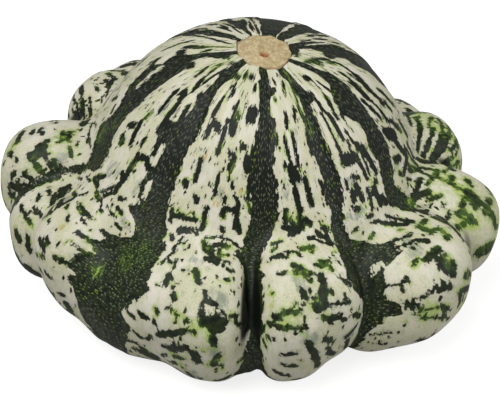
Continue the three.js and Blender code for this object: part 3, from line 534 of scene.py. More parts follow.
def boxy_ellipsoid(points, radii, exponent):
    """Signed distance, near enough, to an ellipsoid squared off by its exponent."""
    unit = np.abs(points) / np.asarray(radii, float)
    size = np.maximum((unit**exponent).sum(-1) ** (1 / exponent), 1e-9)
    slope = (unit / size[..., None]) ** (exponent - 1) / np.asarray(radii, float)
    return (size - 1) / np.sqrt((slope**2).sum(-1))


def mass(points, part):
    """Distance to one of the body's masses."""
    centre = np.array(part["centre"], float)
    return boxy_ellipsoid(points - centre, part["radii"], part["squareness"])


def lobe(points, azimuth, reach, height, length, width, depth, droop):
    """Distance to one lobe."""
    c, s = math.cos(math.radians(azimuth)), math.sin(math.radians(azimuth))
    out = points[..., 0] * c + points[..., 1] * s - reach
    along = points[..., 1] * c - points[..., 0] * s
    up = points[..., 2] - height
    cd, sd = math.cos(math.radians(droop)), math.sin(math.radians(droop))
    local = np.stack([out * cd - up * sd, along, out * sd + up * cd], -1)
    return boxy_ellipsoid(local, (length, width, depth), LOBE_SQUARENESS)


def lobes_at(age):
    """The lobes as they were at an age from 0 to 1: smaller, and closer to the heart."""
    reach_part = YOUNG_REACH + (1 - YOUNG_REACH) * age
    size_part = YOUNG_SIZE + (1 - YOUNG_SIZE) * age
    return [
        (azimuth, reach * reach_part, height, length * size_part, width * size_part,
         depth * size_part, droop, join)
        for azimuth, reach, height, length, width, depth, droop, join in LOBES
    ]


def rind(points, lobes):
    """Distance from points to the rind of a fruit with these lobes: negative inside."""
    body = blend(mass(points, CROWN), mass(points, BASE), BODY_BLEND)
    ring = lobe(points, *lobes[0][:-1])
    for *item, join in lobes[1:]:
        ring = blend(ring, lobe(points, *item), join)
    whole = blend(body, ring, RIM_BLEND)
    return -blend(-whole, mass(points, HOLLOW), HOLLOW_BLEND)


def outward(points, lobes):
    """The rind's outward direction at points, from how its distance changes round about."""
    step = 0.4
    change = [
        rind(points + offset, lobes) - rind(points - offset, lobes)
        for offset in np.eye(3) * step
    ]
    normal = np.stack(change, -1)
    return normal / np.maximum(np.linalg.norm(normal, axis=-1, keepdims=True), 1e-9)


def on_rind(origin, directions, lobes):
    """The outermost points of the rind on rays from origin."""
    travel = np.full(directions.shape[:-1], RAY_START)
    for _ in range(RAY_STEPS):
        travel -= RAY_SHARE * rind(origin + directions * travel[..., None], lobes)
    return origin + directions * travel[..., None]


# ---- Growth of the skin -------------------------------------------------------------------

def turned(vectors, direction):
    """Vectors turned by the shortest turn that takes +Z to a direction."""
    turn = Vector((0, 0, 1)).rotation_difference(Vector(direction)).to_matrix()
    return vectors @ np.array(turn).T


def spread(points, normals):
    """One slide of the inner rings along the rind, towards each point's neighbours."""
    here = points[1:-1]
    slide = np.zeros_like(here)
    total = np.zeros(here.shape[:2] + (1,))
    for neighbour in (points[:-2], points[2:], np.roll(here, 1, 1), np.roll(here, -1, 1)):
        step = neighbour - here
        pull = np.linalg.norm(step, axis=-1, keepdims=True)
        slide += step * pull
        total += pull
    slide /= np.maximum(total, 1e-9)
    normal = normals[1:-1]
    slide -= normal * (slide * normal).sum(-1, keepdims=True)
    moved = points.copy()
    moved[1:-1] += slide * SLIDE
    return moved


def settle(points, lobes, steps):
    """Spreads the points more evenly, and puts them back on the rind each time."""
    for _ in range(steps):
        points = spread(points, outward(points, lobes))
        points -= outward(points, lobes) * rind(points, lobes)[..., None]
    return points


def resampled(grid, rows, columns):
    """A grid with other numbers of rows and columns, the columns closing round."""
    row = np.linspace(0, grid.shape[0] - 1, rows)
    column = np.linspace(0, grid.shape[1], columns, endpoint=False)
    row_part = (row % 1)[:, None, None]
    column_part = (column % 1)[None, :, None]
    low_row, low_column = row.astype(int), column.astype(int)
    high_row = np.minimum(low_row + 1, grid.shape[0] - 1)
    high_column = (low_column + 1) % grid.shape[1]
    upper = (grid[low_row][:, low_column] * (1 - column_part)
             + grid[low_row][:, high_column] * column_part)
    lower = (grid[high_row][:, low_column] * (1 - column_part)
             + grid[high_row][:, high_column] * column_part)
    return upper * (1 - row_part) + lower * row_part


def grow_skin():
    """Grows the skin from a young fruit. Gives its points in millimetres on a grid of rows
    and columns, the stem's place, and the direction that the stem pointed in."""
    stem = on_rind(np.array([STEM_AT[0], STEM_AT[1], 0.0]), np.array([0.0, 0.0, 1.0]), LOBES)
    axis = (stem - HEART) / np.linalg.norm(stem - HEART)
    level = np.linspace(0, 1, ROWS + 1)
    polar = np.pi * (level + POLE_SPREAD * np.sin(2 * np.pi * level))
    turn = math.radians(SEAM_TURN) + np.linspace(0, 2 * np.pi, COLUMNS, endpoint=False)
    polar, turn = np.meshgrid(polar, turn, indexing="ij")
    rays = np.stack(
        [np.sin(polar) * np.cos(turn), np.sin(polar) * np.sin(turn), np.cos(polar)], -1)
    points = on_rind(HEART, turned(rays, axis), lobes_at(0))
    for step in range(1, GROWING_STEPS + 1):
        points = settle(points, lobes_at(step / GROWING_STEPS), 1)
    points = settle(points, LOBES, SETTLING_STEPS)
    for steps in DOUBLED_STEPS:
        points = resampled(points, 2 * points.shape[0] - 1, 2 * points.shape[1])
        points = settle(points, LOBES, steps)
    points = resampled(points, SKIN_ROWS + 1, SKIN_COLUMNS)
    points -= outward(points, LOBES) * rind(points, LOBES)[..., None]
    return points, stem, outward(stem, LOBES)


def crease_shade_depth(points):
    """How shut in each place is between lobes, which sets the shade painted into the creases: 0 on an
    open face, near 1 in a tight crease.
    """
    look_out = 9.0
    clear = rind(points + outward(points, LOBES) * look_out, LOBES)
    return np.clip(1 - clear / look_out, 0, 1)


def smoothstep(low, high, value):
    """0 below low, 1 above high, and a smooth rise between."""
    part = np.clip((value - low) / (high - low), 0, 1)
    return part * part * (3 - 2 * part)


# ---- Stem scar ----------------------------------------------------------------------------

def flutes(turn):
    """Nine uneven waves round the scar, from -1 to 1."""
    return np.cos(9 * turn + 0.6 + 0.5 * np.sin(2 * turn))


def scar_edge(turn):
    """The scar's radius at turns in radians, with its flutes, small teeth, corners and bites."""
    edge = SCAR_RADIUS - 0.1 + EDGE_FLUTES * flutes(turn)
    edge = edge + EDGE_TEETH * np.sin(17 * turn + 2 * np.sin(3 * turn))
    for middle, reach, width in SCAR_CORNERS:
        away = (turn - math.radians(middle) + np.pi) % (2 * np.pi) - np.pi
        edge = edge + reach * np.exp(-((away / math.radians(width)) ** 2))
    return edge


def in_scar_frame(points, stem, normal):
    """The points' radii and turns round the stem, and their places over the rind's tangent
    plane there."""
    back = Vector(normal).rotation_difference(Vector((0, 0, 1))).to_matrix()
    local = (points - stem) @ np.array(back).T
    return np.hypot(local[..., 0], local[..., 1]), np.arctan2(local[..., 1], local[..., 0]), local


def seat_scar(points, stem, normal):
    """Draws the rings nearest the stem in to the scar's edge, and sinks what lies inside."""
    radius, turn, _ = in_scar_frame(points[: len(SEAT_RINGS)], stem, normal)
    edge = scar_edge(turn) + SEAT_MARGIN
    fraction, sunk, keep = np.array(SEAT_RINGS, float).T[:, :, None]
    wanted = edge * fraction * (1 - keep) + radius * keep
    flat = np.stack([wanted * np.cos(turn), wanted * np.sin(turn), np.zeros_like(wanted)], -1)
    placed = turned(flat, normal) + stem
    for _ in range(SEAT_STEPS):
        placed -= normal * (rind(placed, LOBES) / (outward(placed, LOBES) @ normal))[..., None]
    placed -= normal * sunk[..., None]
    seated = points.copy()
    seated[: len(SEAT_RINGS)] = placed
    return seated


def scar_points(stem, normal):
    """The corky disc's points, with a grainy, fluted face that dips to the pit."""
    section = np.array(SCAR_SECTION)
    steps = np.linspace(0, len(section) - 1, SCAR_ROWS_EACH * (len(section) - 1) + 1)
    radius = np.interp(steps, np.arange(len(section)), section[:, 0])[:, None]
    height = np.interp(steps, np.arange(len(section)), section[:, 1])[:, None]
    turn = np.linspace(0, 2 * np.pi, SCAR_COLUMNS, endpoint=False)[None, :]
    grown = radius + (scar_edge(turn) - SCAR_RADIUS) * (radius / SCAR_RADIUS) ** 1.5
    drawn_to_pit = np.exp(-((radius / PIT_DRAWS) ** 2))
    x = grown * np.cos(turn) + PIT_AT[0] * drawn_to_pit
    y = grown * np.sin(turn) + PIT_AT[1] * drawn_to_pit
    grain = np.zeros_like(x)
    for spot, _ in np.ndenumerate(x):
        for fineness, rough, layer in SCAR_GRAIN:
            place = Vector((x[spot] * fineness, y[spot] * fineness, layer))
            grain[spot] += rough * noise.noise(place)
    grain = grain + FACE_FLUTES * flutes(turn) * smoothstep(*FLUTES_RISE, radius)
    pit = np.exp(-((radius / PIT_RADIUS) ** 2))
    upper = smoothstep(*GRAIN_FADE, height) * (1 - pit)
    z = height + grain * upper - SCAR_SUNK
    dome = -(x**2 + y**2) / (2 * CROWN_ROUNDNESS)
    local = np.stack([x, y, z + dome], -1)
    return turned(local, normal) + stem


# ---- Markings -----------------------------------------------------------------------------

def near(turn, centre):
    """Turns in degrees, counted so that they lie within half a turn of the centre."""
    return centre + (turn - centre + 180) % 360 - 180


def stripe_depth(turn, level, edges):
    """How far inside a stripe each place lies, in degrees: negative outside."""
    levels, left, right = np.array(edges, float).T
    low = np.interp(level, levels, left)
    high = np.interp(level, levels, right)
    here = near(turn, (low + high) / 2)
    return np.minimum(here - low, high - here)


def mark_depth(turn, level, mark):
    """How far inside a mark each place lies, in degrees: negative outside."""
    turn_1, level_1, turn_2, level_2, half_width = mark
    dx = near(turn, turn_1) - turn_1
    dy = (level - level_1) * TALL
    run, rise = turn_2 - turn_1, (level_2 - level_1) * TALL
    along = np.clip((dx * run + dy * rise) / max(run**2 + rise**2, 1e-9), 0, 1)
    return half_width + MARK_SWELL - np.hypot(dx - run * along, dy - rise * along)


def strewn_marks():
    """Marks for the sides that the front doesn't show, strewn the same way each time."""
    chance = np.random.default_rng(STREW_SEED)
    marks = []
    for patch in STREWN:
        for _ in range(patch["count"]):
            turn = chance.uniform(*patch["turns"])
            level = chance.uniform(*patch["levels"])
            lean = math.radians(patch["lean"] + chance.normal(0, 25))
            length = chance.uniform(*patch["lengths"])
            run, rise = length * math.cos(lean), length * math.sin(lean) / TALL
            half_width = chance.uniform(*patch["half_widths"])
            marks.append((turn, level, turn + run, level + rise, half_width))
    return marks


def darkest(turn, level, marks, start):
    """The greatest depth of each place in any of the marks, or start where that is more."""
    depth = start.copy()
    for mark in marks:
        _, level_1, _, level_2, half_width = mark
        middle = (level_1 + level_2) / 2
        reach = abs(level_2 - level_1) / 2 + (half_width + MARK_MARGIN) / TALL
        rows = np.abs(level[:, 0] - middle) < reach
        depth[rows] = np.maximum(depth[rows], mark_depth(turn[rows], level[rows], mark))
    return depth


def back_stripe_depth(turn, level, stripe):
    """How far inside a stripe of the back each place lies, with its edges waving a little."""
    top_turn, top_half, rim_turn, rim_half = stripe
    half = np.interp(level, BACK_WIDENING, (top_half, rim_half))
    for (reach, pace), start in zip(BACK_WAVES, (top_turn, rim_turn)):
        half = half + reach * np.sin(level * pace + start)
    middle = np.interp(level, BACK_TURNING, (top_turn, rim_turn))
    return half - np.abs(near(turn, middle) - middle)


def distance_from(turn, level, place_turn, place_level):
    """How far each place lies from one of them, in degrees."""
    return np.hypot(near(turn, place_turn) - place_turn, (level - place_level) * TALL)


def green_share(turn, level):
    """How green the dark is at each place, from 0 to 1."""
    share = np.zeros_like(level)
    for place_turn, place_level, reach, strength in GREENS:
        distance = distance_from(turn, level, place_turn, place_level)
        here = strength * smoothstep(*(part * reach for part in GREEN_FALL), distance)
        share = np.maximum(share, here)
    return share


def cork_depth(turn, level):
    """How far inside cork each place lies: rings on the specks, and the blossom's scar."""
    depth = np.full_like(level, -4.0)
    for place_turn, place_level, radius in SPECKS:
        distance = distance_from(turn, level, place_turn, place_level)
        depth = np.maximum(depth, 1 - np.abs(distance - 0.75 * radius) / (0.5 * radius))
    return np.maximum(depth, 5 * smoothstep(*BLOSSOM_SCAR, level) - 4)


def markings(rows, columns):
    """Each place's depth in the small dark marks, in the stripes, in shadow and in cork, and
    its share of leaf green."""
    level = np.repeat(np.linspace(0, 100, rows)[:, None], columns, 1) - DRIFT[1]
    turn = SEAM_TURN + np.repeat(np.linspace(0, 360, columns, endpoint=False)[None], rows, 0)
    way_out = np.interp(level, LEAN_LEVELS, WAY_OUT)
    turn = turn - DRIFT[0] + LEAN * np.cos(np.radians(turn)) / way_out
    outside = np.full(level.shape, OUTSIDE)
    stripes = outside
    for edges in STRIPES:
        stripes = np.maximum(stripes, stripe_depth(turn, level, edges))
    for stripe in BACK_STRIPES:
        stripes = np.maximum(stripes, back_stripe_depth(turn, level, stripe))
    stripes = stripes - STRIPES_THINNED * smoothstep(*STRIPES_END, level)
    dark = darkest(turn, level, MARKS, outside)
    dark = darkest(turn, level, strewn_marks(), dark)
    gaps = darkest(turn, level, GAPS, outside)
    return {
        "dark": np.minimum(dark, -gaps),
        "stripe": np.minimum(stripes, -gaps),
        "green": green_share(turn, level),
        "shadow": darkest(turn, level, SHADOWS, outside),
        "cork": cork_depth(turn, level),
    }


# ---- Meshes -------------------------------------------------------------------------------

def grid_faces(rows, columns):
    """Quads between rings, and fans of triangles at the two points on the axis."""
    def at(row, column):
        return 1 + (row - 1) * columns + column % columns
    last = (rows - 2) * columns + 1
    faces = [(0, at(1, c), at(1, c + 1)) for c in range(columns)]
    for row in range(1, rows - 2):
        faces += [(at(row, c), at(row + 1, c), at(row + 1, c + 1), at(row, c + 1))
                  for c in range(columns)]
    faces += [(last, at(rows - 2, c + 1), at(rows - 2, c)) for c in range(columns)]
    return faces


def grid_corners(rows, columns):
    """Row and column of each corner of those faces, the columns not closing round."""
    corners = []
    for c in range(columns):
        corners += [(0, c + 0.5), (1, c), (1, c + 1)]
    for row in range(1, rows - 2):
        for c in range(columns):
            corners += [(row, c), (row + 1, c), (row + 1, c + 1), (row, c + 1)]
    for c in range(columns):
        corners += [(rows - 1, c + 0.5), (rows - 2, c + 1), (rows - 2, c)]
    return np.array(corners, float)


def flattened(grid):
    """A grid's values as one list of points, with the axis rows taken once."""
    inner = grid[1:-1].reshape((-1,) + grid.shape[2:])
    return np.concatenate([grid[:1, 0], inner, grid[-1:, 0]])


def grid_object(name, points, material):
    """A smooth closed mesh object from a grid of points in millimetres."""
    mesh = bpy.data.meshes.new(name)
    mesh.from_pydata((flattened(points) * MM).tolist(), [], grid_faces(*points.shape[:2]))
    mesh.polygons.foreach_set("use_smooth", [True] * len(mesh.polygons))
    mesh.materials.append(material)
    mesh.update()
    piece = bpy.data.objects.new(name, mesh)
    bpy.context.scene.collection.objects.link(piece)
    return piece


def add_attribute(piece, name, grid):
    """Gives each point of a grid object a value of its own."""
    layer = piece.data.attributes.new(name, "FLOAT", "POINT")
    layer.data.foreach_set("value", flattened(grid).astype(np.float32))


def add_growth(piece, rows, columns):
    """Gives each face corner its place on the young fruit: turn, and level times TALL."""
    corners = grid_corners(rows, columns)
    turn = SEAM_TURN + 360 * corners[:, 1] / columns
    level = 100 * TALL * corners[:, 0] / (rows - 1)
    layer = piece.data.attributes.new("growth", "FLOAT_VECTOR", "CORNER")
    values = np.stack([turn, level, np.zeros_like(turn)], -1).astype(np.float32)
    layer.data.foreach_set("vector", values.ravel())


# ---- Materials ----------------------------------------------------------------------------

def shade(red, green, blue):
    """A colour given as it shows, from 0 to 255, as the shader's linear red, green, blue."""
    return tuple(
        (part / 255 / 12.92) if part <= 10 else ((part / 255 + 0.055) / 1.055) ** 2.4
        for part in (red, green, blue)
    )


class Wiring:
    """Adds nodes to a shader tree, and joins them up."""

    def __init__(self, tree):
        self.tree = tree

    def node(self, kind, **settings):
        """A new node with these settings."""
        made = self.tree.nodes.new(kind)
        for name, value in settings.items():
            setattr(made, name, value)
        return made

    def join(self, value, socket):
        """Links a socket's value, or sets a plain one."""
        if isinstance(value, bpy.types.NodeSocket):
            self.tree.links.new(value, socket)
        elif socket.type == "RGBA" and len(value) == 3:
            socket.default_value = (*value, 1)
        else:
            socket.default_value = value

    def math(self, operation, *values):
        """One step of arithmetic on values or sockets."""
        made = self.node("ShaderNodeMath", operation=operation)
        for value, socket in zip(values, made.inputs):
            self.join(value, socket)
        return made.outputs[0]

    def rise(self, value, low, high):
        """0 below low, 1 above high, smooth between. High may be the lesser."""
        made = self.node("ShaderNodeMapRange", interpolation_type="SMOOTHSTEP")
        self.join(value, made.inputs["Value"])
        made.inputs["From Min"].default_value = min(low, high)
        made.inputs["From Max"].default_value = max(low, high)
        made.inputs["To Min"].default_value = 0 if low < high else 1
        made.inputs["To Max"].default_value = 1 if low < high else 0
        return made.outputs["Result"]

    def mix(self, part, first, second):
        """The first colour where part is 0, the second where it is 1."""
        made = self.node("ShaderNodeMix", data_type="RGBA")
        self.join(part, made.inputs["Factor"])
        self.join(first, made.inputs[6])
        self.join(second, made.inputs[7])
        return made.outputs[2]

    def share(self, value, low, high, most):
        """A rise that ends at most."""
        return self.math("MULTIPLY", self.rise(value, low, high), most)

    def stretched(self, vector, scale):
        """A place with its three measures scaled."""
        made = self.node("ShaderNodeMapping")
        self.join(vector, made.inputs["Vector"])
        made.inputs["Scale"].default_value = scale
        return made.outputs["Vector"]

    def noise(self, vector, scale, detail, roughness):
        """Soft noise from 0 to 1."""
        made = self.node("ShaderNodeTexNoise", noise_dimensions="3D")
        self.join(vector, made.inputs["Vector"])
        made.inputs["Scale"].default_value = scale
        made.inputs["Detail"].default_value = detail
        made.inputs["Roughness"].default_value = roughness
        return made.outputs["Fac"]

    def cells(self, vector, scale, distance="CHEBYCHEV"):
        """Cells round scattered points: the distance to the nearest, and two values that each
        cell has for itself."""
        made = self.node("ShaderNodeTexVoronoi", voronoi_dimensions="2D", distance=distance)
        self.join(vector, made.inputs["Vector"])
        made.inputs["Scale"].default_value = scale
        parts = self.node("ShaderNodeSeparateColor")
        self.join(made.outputs["Color"], parts.inputs["Color"])
        return made.outputs["Distance"], parts.outputs["Red"], parts.outputs["Green"]

    def value_of(self, name):
        """A point's own value."""
        made = self.node("ShaderNodeAttribute", attribute_type="GEOMETRY", attribute_name=name)
        return made.outputs["Fac"]

    def vector_of(self, name):
        """A corner's own vector."""
        made = self.node("ShaderNodeAttribute", attribute_type="GEOMETRY", attribute_name=name)
        return made.outputs["Vector"]


def grain_group():
    """Fine relief that the rind and the cork share: low swells under small pores."""
    if "fine_relief" in bpy.data.node_groups:
        return bpy.data.node_groups["fine_relief"]
    group = bpy.data.node_groups.new("fine_relief", "ShaderNodeTree")
    socket = group.interface.new_socket
    socket("Place", in_out="INPUT", socket_type="NodeSocketVector")
    socket("Swell Size", in_out="INPUT", socket_type="NodeSocketFloat").default_value = 250
    socket("Pore Size", in_out="INPUT", socket_type="NodeSocketFloat").default_value = 1400
    socket("Pores", in_out="INPUT", socket_type="NodeSocketFloat").default_value = 0.3
    socket("Height", in_out="OUTPUT", socket_type="NodeSocketFloat")
    wiring = Wiring(group)
    entry = wiring.node("NodeGroupInput")
    exit_node = wiring.node("NodeGroupOutput")
    swell = wiring.node("ShaderNodeTexNoise")
    wiring.join(entry.outputs["Place"], swell.inputs["Vector"])
    wiring.join(entry.outputs["Swell Size"], swell.inputs["Scale"])
    swell.inputs["Detail"].default_value = 3
    pores = wiring.node("ShaderNodeTexVoronoi", feature="SMOOTH_F1")
    wiring.join(entry.outputs["Place"], pores.inputs["Vector"])
    wiring.join(entry.outputs["Pore Size"], pores.inputs["Scale"])
    depth = wiring.math("MULTIPLY", pores.outputs["Distance"], entry.outputs["Pores"])
    height = wiring.math("ADD", swell.outputs["Fac"], depth)
    wiring.join(height, exit_node.inputs["Height"])
    return group


def new_material(name):
    """A material with a bare Principled shader, and the wiring to add to it."""
    material = bpy.data.materials.new(name)
    material.use_nodes = True
    wiring = Wiring(material.node_tree)
    return material, wiring, material.node_tree.nodes["Principled BSDF"]


def add_relief(wiring, skin, place, grain, strength, inked=None):
    """Bumps a shader's surface with the fine relief of a grain: its swell size, pore size and
    how deep the pores are. Where the skin is inked it lies a little lower."""
    relief = wiring.node("ShaderNodeGroup", node_tree=grain_group())
    wiring.join(place, relief.inputs["Place"])
    for name, value in zip(("Swell Size", "Pore Size", "Pores"), grain):
        relief.inputs[name].default_value = value
    height = relief.outputs["Height"]
    if inked is not None:
        height = wiring.math("MULTIPLY_ADD", inked, -0.25, height)
    bump = wiring.node("ShaderNodeBump")
    bump.inputs["Distance"].default_value = RELIEF_HEIGHT
    bump.inputs["Strength"].default_value = strength
    wiring.join(height, bump.inputs["Height"])
    wiring.join(bump.outputs["Normal"], skin.inputs["Normal"])


class RindLayers:
    """The layers of the rind's colour, worked out from a few noises and shares that they have
    in common. Depths are in degrees round the fruit, and less than 0 outside."""

    def __init__(self, wiring, look):
        self.wiring = wiring
        self.look = look
        self.growth = wiring.vector_of("growth")
        self.green = wiring.value_of("green")
        # How shut in between lobes each place is: the mask of the shade painted into the creases.
        self.crease = wiring.value_of("crease")
        level = wiring.node("ShaderNodeSeparateXYZ")
        wiring.join(self.growth, level.inputs["Vector"])
        self.lower = wiring.rise(level.outputs["Y"], *CROWN_TO_LOBES)
        self.clouds = wiring.noise(self.growth, 0.12, 2, 0.5)
        self.mottle = wiring.noise(self.growth, 0.7, 3, 0.6)
        self.streaks = wiring.noise(wiring.stretched(self.growth, STREAK_SHAPE), 0.8, 3, 0.6)
        self.blocky = wiring.stretched(self.growth, BLOCK_SHAPE)
        _, self.block, self.block_tone = wiring.cells(self.blocky, 0.7)
        _, self.small_block, self.small_block_tone = wiring.cells(self.blocky, 1.45)
        patches = wiring.noise(self.growth, 0.2, 2, 0.6)
        self.limey = wiring.math("MAXIMUM", self.green, wiring.rise(patches, 0.52, 0.64))

    def crumbs(self):
        """Depth in small odd marks among the pale, which some clouds have more of."""
        wiring = self.wiring
        spot, chance, size = wiring.cells(self.blocky, 0.7, "EUCLIDEAN")
        kept = wiring.math("LESS_THAN", chance, wiring.math("MULTIPLY_ADD", self.clouds, 1.5, -0.54))
        reach = wiring.math("MULTIPLY_ADD", size, 0.45, 0.05)
        depth = wiring.math("SUBTRACT", reach, wiring.math("MULTIPLY", spot, 1.4))
        return wiring.math("SUBTRACT", wiring.math("MULTIPLY_ADD", kept, 6.0, depth), 6.0)

    def raggedness(self):
        """How far small blocks and a little noise shift the edges of marks, and how far those
        and larger blocks shift the edges of stripes."""
        wiring = self.wiring
        much = self.look.raggedness
        rough_edge = wiring.noise(self.growth, 1.5, 3, 0.6)
        fine = wiring.math("MULTIPLY_ADD", self.small_block, 0.85 * much, -1.17 * much)
        fine = wiring.math("MULTIPLY_ADD", rough_edge, 1.4 * much, fine)
        fine = wiring.math("MULTIPLY", fine, wiring.math("MULTIPLY_ADD", self.lower, -0.4, 1.0))
        coarse = wiring.math("MULTIPLY_ADD", self.block, 1.2 * much, -0.6 * much)
        return fine, wiring.math("ADD", coarse, fine)

    def pale(self, ragged):
        """Pale skin: cream and white clouds under greenish streaks, smoke, dust, marks that lie
        under the skin, and lime stains round the green places."""
        wiring, look = self.wiring, self.look
        pale = wiring.mix(wiring.rise(self.clouds, 0.35, 0.65), look.pale, look.cream)
        pale = wiring.mix(wiring.share(self.streaks, 0.45, 0.75, 0.7), pale, look.greenish)
        smoke = wiring.noise(wiring.stretched(self.growth, SMOKE_SHAPE), 0.42, 3, 0.6)
        pale = wiring.mix(wiring.share(smoke, 0.6, 0.78, 0.45), pale, look.shadow)
        dust = wiring.noise(self.growth, 2.6, 2, 0.6)
        dusty = wiring.math("MULTIPLY", wiring.share(dust, 0.48, 0.72, 0.42),
                            wiring.rise(self.clouds, 0.25, 0.6))
        pale = wiring.mix(dusty, pale, look.fringe)
        under = wiring.math("ADD", wiring.value_of("shadow"), ragged)
        under = wiring.math("MULTIPLY", wiring.share(under, -0.4, 0.9, 0.75),
                            wiring.rise(self.streaks, 0.25, 0.65))
        pale = wiring.mix(under, pale, look.shadow)
        stained = wiring.math("MULTIPLY", self.green, wiring.share(self.mottle, 0.35, 0.7, 0.5))
        return wiring.mix(stained, pale, look.lime)

    def ink(self, depth):
        """Dark skin: nearly black green, mottled lower down, with leaf green and lime in the
        green places and along some edges."""
        wiring, look = self.wiring, self.look
        olive = wiring.math("MULTIPLY", wiring.rise(self.mottle, 0.3, 0.7),
                            wiring.math("MULTIPLY_ADD", self.lower, 0.8, 0.2))
        ink = wiring.mix(olive, look.dark, look.olive)
        mosaic = wiring.math("ADD", self.mottle, self.block_tone)
        mosaic = wiring.math("MULTIPLY_ADD", self.small_block_tone, 0.6, mosaic)
        leafy = wiring.math("MULTIPLY", self.green, wiring.rise(mosaic, 0.95, 1.5))
        ink = wiring.mix(leafy, ink, look.leaf)
        limed = wiring.math("MULTIPLY", leafy, wiring.share(self.small_block_tone, 0.75, 0.95, 0.6))
        ink = wiring.mix(limed, ink, look.lime)
        bright_edge = wiring.math("MULTIPLY", self.limey, wiring.share(depth, 0.6, 0.0, 0.75))
        return wiring.mix(bright_edge, ink, look.leaf)

    def fleck_cells(self, shape, outer, inner, span, least):
        """One fleck to a cell, fading between two distances, each as strong as it happens."""
        wiring = self.wiring
        spot, _, tone = wiring.cells(wiring.stretched(self.growth, shape), 1.1, "EUCLIDEAN")
        strength = wiring.math("MULTIPLY_ADD", tone, span, least)
        return wiring.math("MULTIPLY", wiring.rise(spot, outer, inner), strength)

    def flecks(self):
        """Share of small pale flecks in the stripes: tall on the crown, broad on the lobes, and none
        down in the creases, where shade is painted over them."""
        wiring = self.wiring
        upper = self.fleck_cells(UPPER_FLECK_SHAPE, 0.3, 0.08, 0.7, 0.05)
        upper = wiring.math("MULTIPLY", wiring.math("SUBTRACT", 1.0, self.lower), upper)
        lower = self.fleck_cells(LOWER_FLECK_SHAPE, 0.34, 0.1, 0.65, 0.0)
        flecks = wiring.math("MULTIPLY_ADD", self.lower, lower, upper)
        flecks = wiring.math("MULTIPLY", flecks, wiring.rise(wiring.value_of("stripe"), 0.2, 1.2))
        # Painted shade: the flecks fade out down in the creases.
        flecks = wiring.math("MULTIPLY", flecks, wiring.rise(self.crease, 0.7, 0.35))
        return wiring.math("MULTIPLY", flecks, wiring.math("MULTIPLY_ADD", self.limey, 0.45, 0.6))

    def colour(self):
        """The whole rind's colour, with shade painted into the creases between lobes, and the share
        of dark in it.
        """
        wiring, look = self.wiring, self.look
        fine, ragged = self.raggedness()
        marked = wiring.math("MAXIMUM", wiring.value_of("dark"), self.crumbs())
        marked = wiring.math("ADD", marked, fine)
        striped = wiring.math("ADD", wiring.value_of("stripe"), ragged)
        depth = wiring.math("MAXIMUM", marked, striped)
        inked = wiring.rise(depth, -0.16, 0.1)

        fleck_colour = wiring.mix(wiring.rise(self.limey, 0.1, 0.9), look.fleck, look.lime)
        ink = wiring.mix(self.flecks(), self.ink(depth), fleck_colour)
        fringe_colour = wiring.mix(self.limey, look.fringe, look.lime)
        fringe = wiring.math("MULTIPLY", wiring.rise(depth, -0.85, -0.15),
                             wiring.math("MULTIPLY_ADD", self.limey, 0.65, 0.15))
        pale = wiring.mix(fringe, self.pale(ragged), fringe_colour)
        colour = wiring.mix(inked, pale, ink)

        corky = wiring.math("MULTIPLY_ADD", ragged, 0.5, wiring.value_of("cork"))
        colour = wiring.mix(wiring.share(corky, 0.1, 0.7, 0.75), colour, look.speck)
        # Painted shade: the creases between lobes are darkened to the dark colour.
        colour = wiring.mix(wiring.share(self.crease, 0.55, 0.9, 0.95), colour, look.dark)
        return colour, inked


def rind_material(look):
    """Pale skin under ragged dark stripes and marks, with shade painted into the creases and a soft
    waxy gloss.
    """
    material, wiring, skin = new_material("variegated_rind")
    colour, inked = RindLayers(wiring, look).colour()
    wiring.join(colour, skin.inputs["Base Color"])
    place = wiring.node("ShaderNodeTexCoord").outputs["Object"]
    waxy = wiring.noise(place, 60, 2, 0.5)
    wiring.join(wiring.math("MULTIPLY_ADD", waxy, 0.16, 0.38), skin.inputs["Roughness"])
    skin.inputs["Specular IOR Level"].default_value = 0.2
    add_relief(wiring, skin, place, grain=(140, 900, 0.25), strength=0.5, inked=inked)
    return material


def cork_material(look):
    """Dry cork: tan with darker fibres, a dark rim and a brown pit."""
    material, wiring, skin = new_material("scar_cork")
    place = wiring.node("ShaderNodeTexCoord").outputs["Object"]
    mottle = wiring.noise(place, 420, 4, 0.65)
    fibres = wiring.noise(place, 1400, 3, 0.6)
    tone = wiring.mix(wiring.rise(mottle, 0.35, 0.65), look.cork, look.cork_light)
    tone = wiring.mix(wiring.share(fibres, 0.45, 0.7, 0.45), tone, look.cork_dark)
    pit = wiring.math("MULTIPLY_ADD", mottle, 0.9, wiring.value_of("pit"))
    tone = wiring.mix(wiring.share(pit, 3.0, 1.5, 0.9), tone, look.pit)
    tone = wiring.mix(wiring.share(pit, 1.5, 0.8, 0.7), tone, look.cork_dark)
    edge = wiring.share(wiring.value_of("radius"), 10.2, 11.6, 0.6)
    tone = wiring.mix(edge, tone, look.cork_dark)
    wiring.join(tone, skin.inputs["Base Color"])
    wiring.join(wiring.math("MULTIPLY_ADD", mottle, 0.15, 0.75), skin.inputs["Roughness"])
    skin.inputs["Specular IOR Level"].default_value = 0.2
    add_relief(wiring, skin, place, grain=(700, 2200, 0.6), strength=0.8)
    return material


# ---- Settings -----------------------------------------------------------------------------

def colour_property(name, description, default):
    """A colour that a user may change."""
    return FloatVectorProperty(name=name, description=description, default=default,
                               subtype="COLOR", size=3, min=0, max=1)


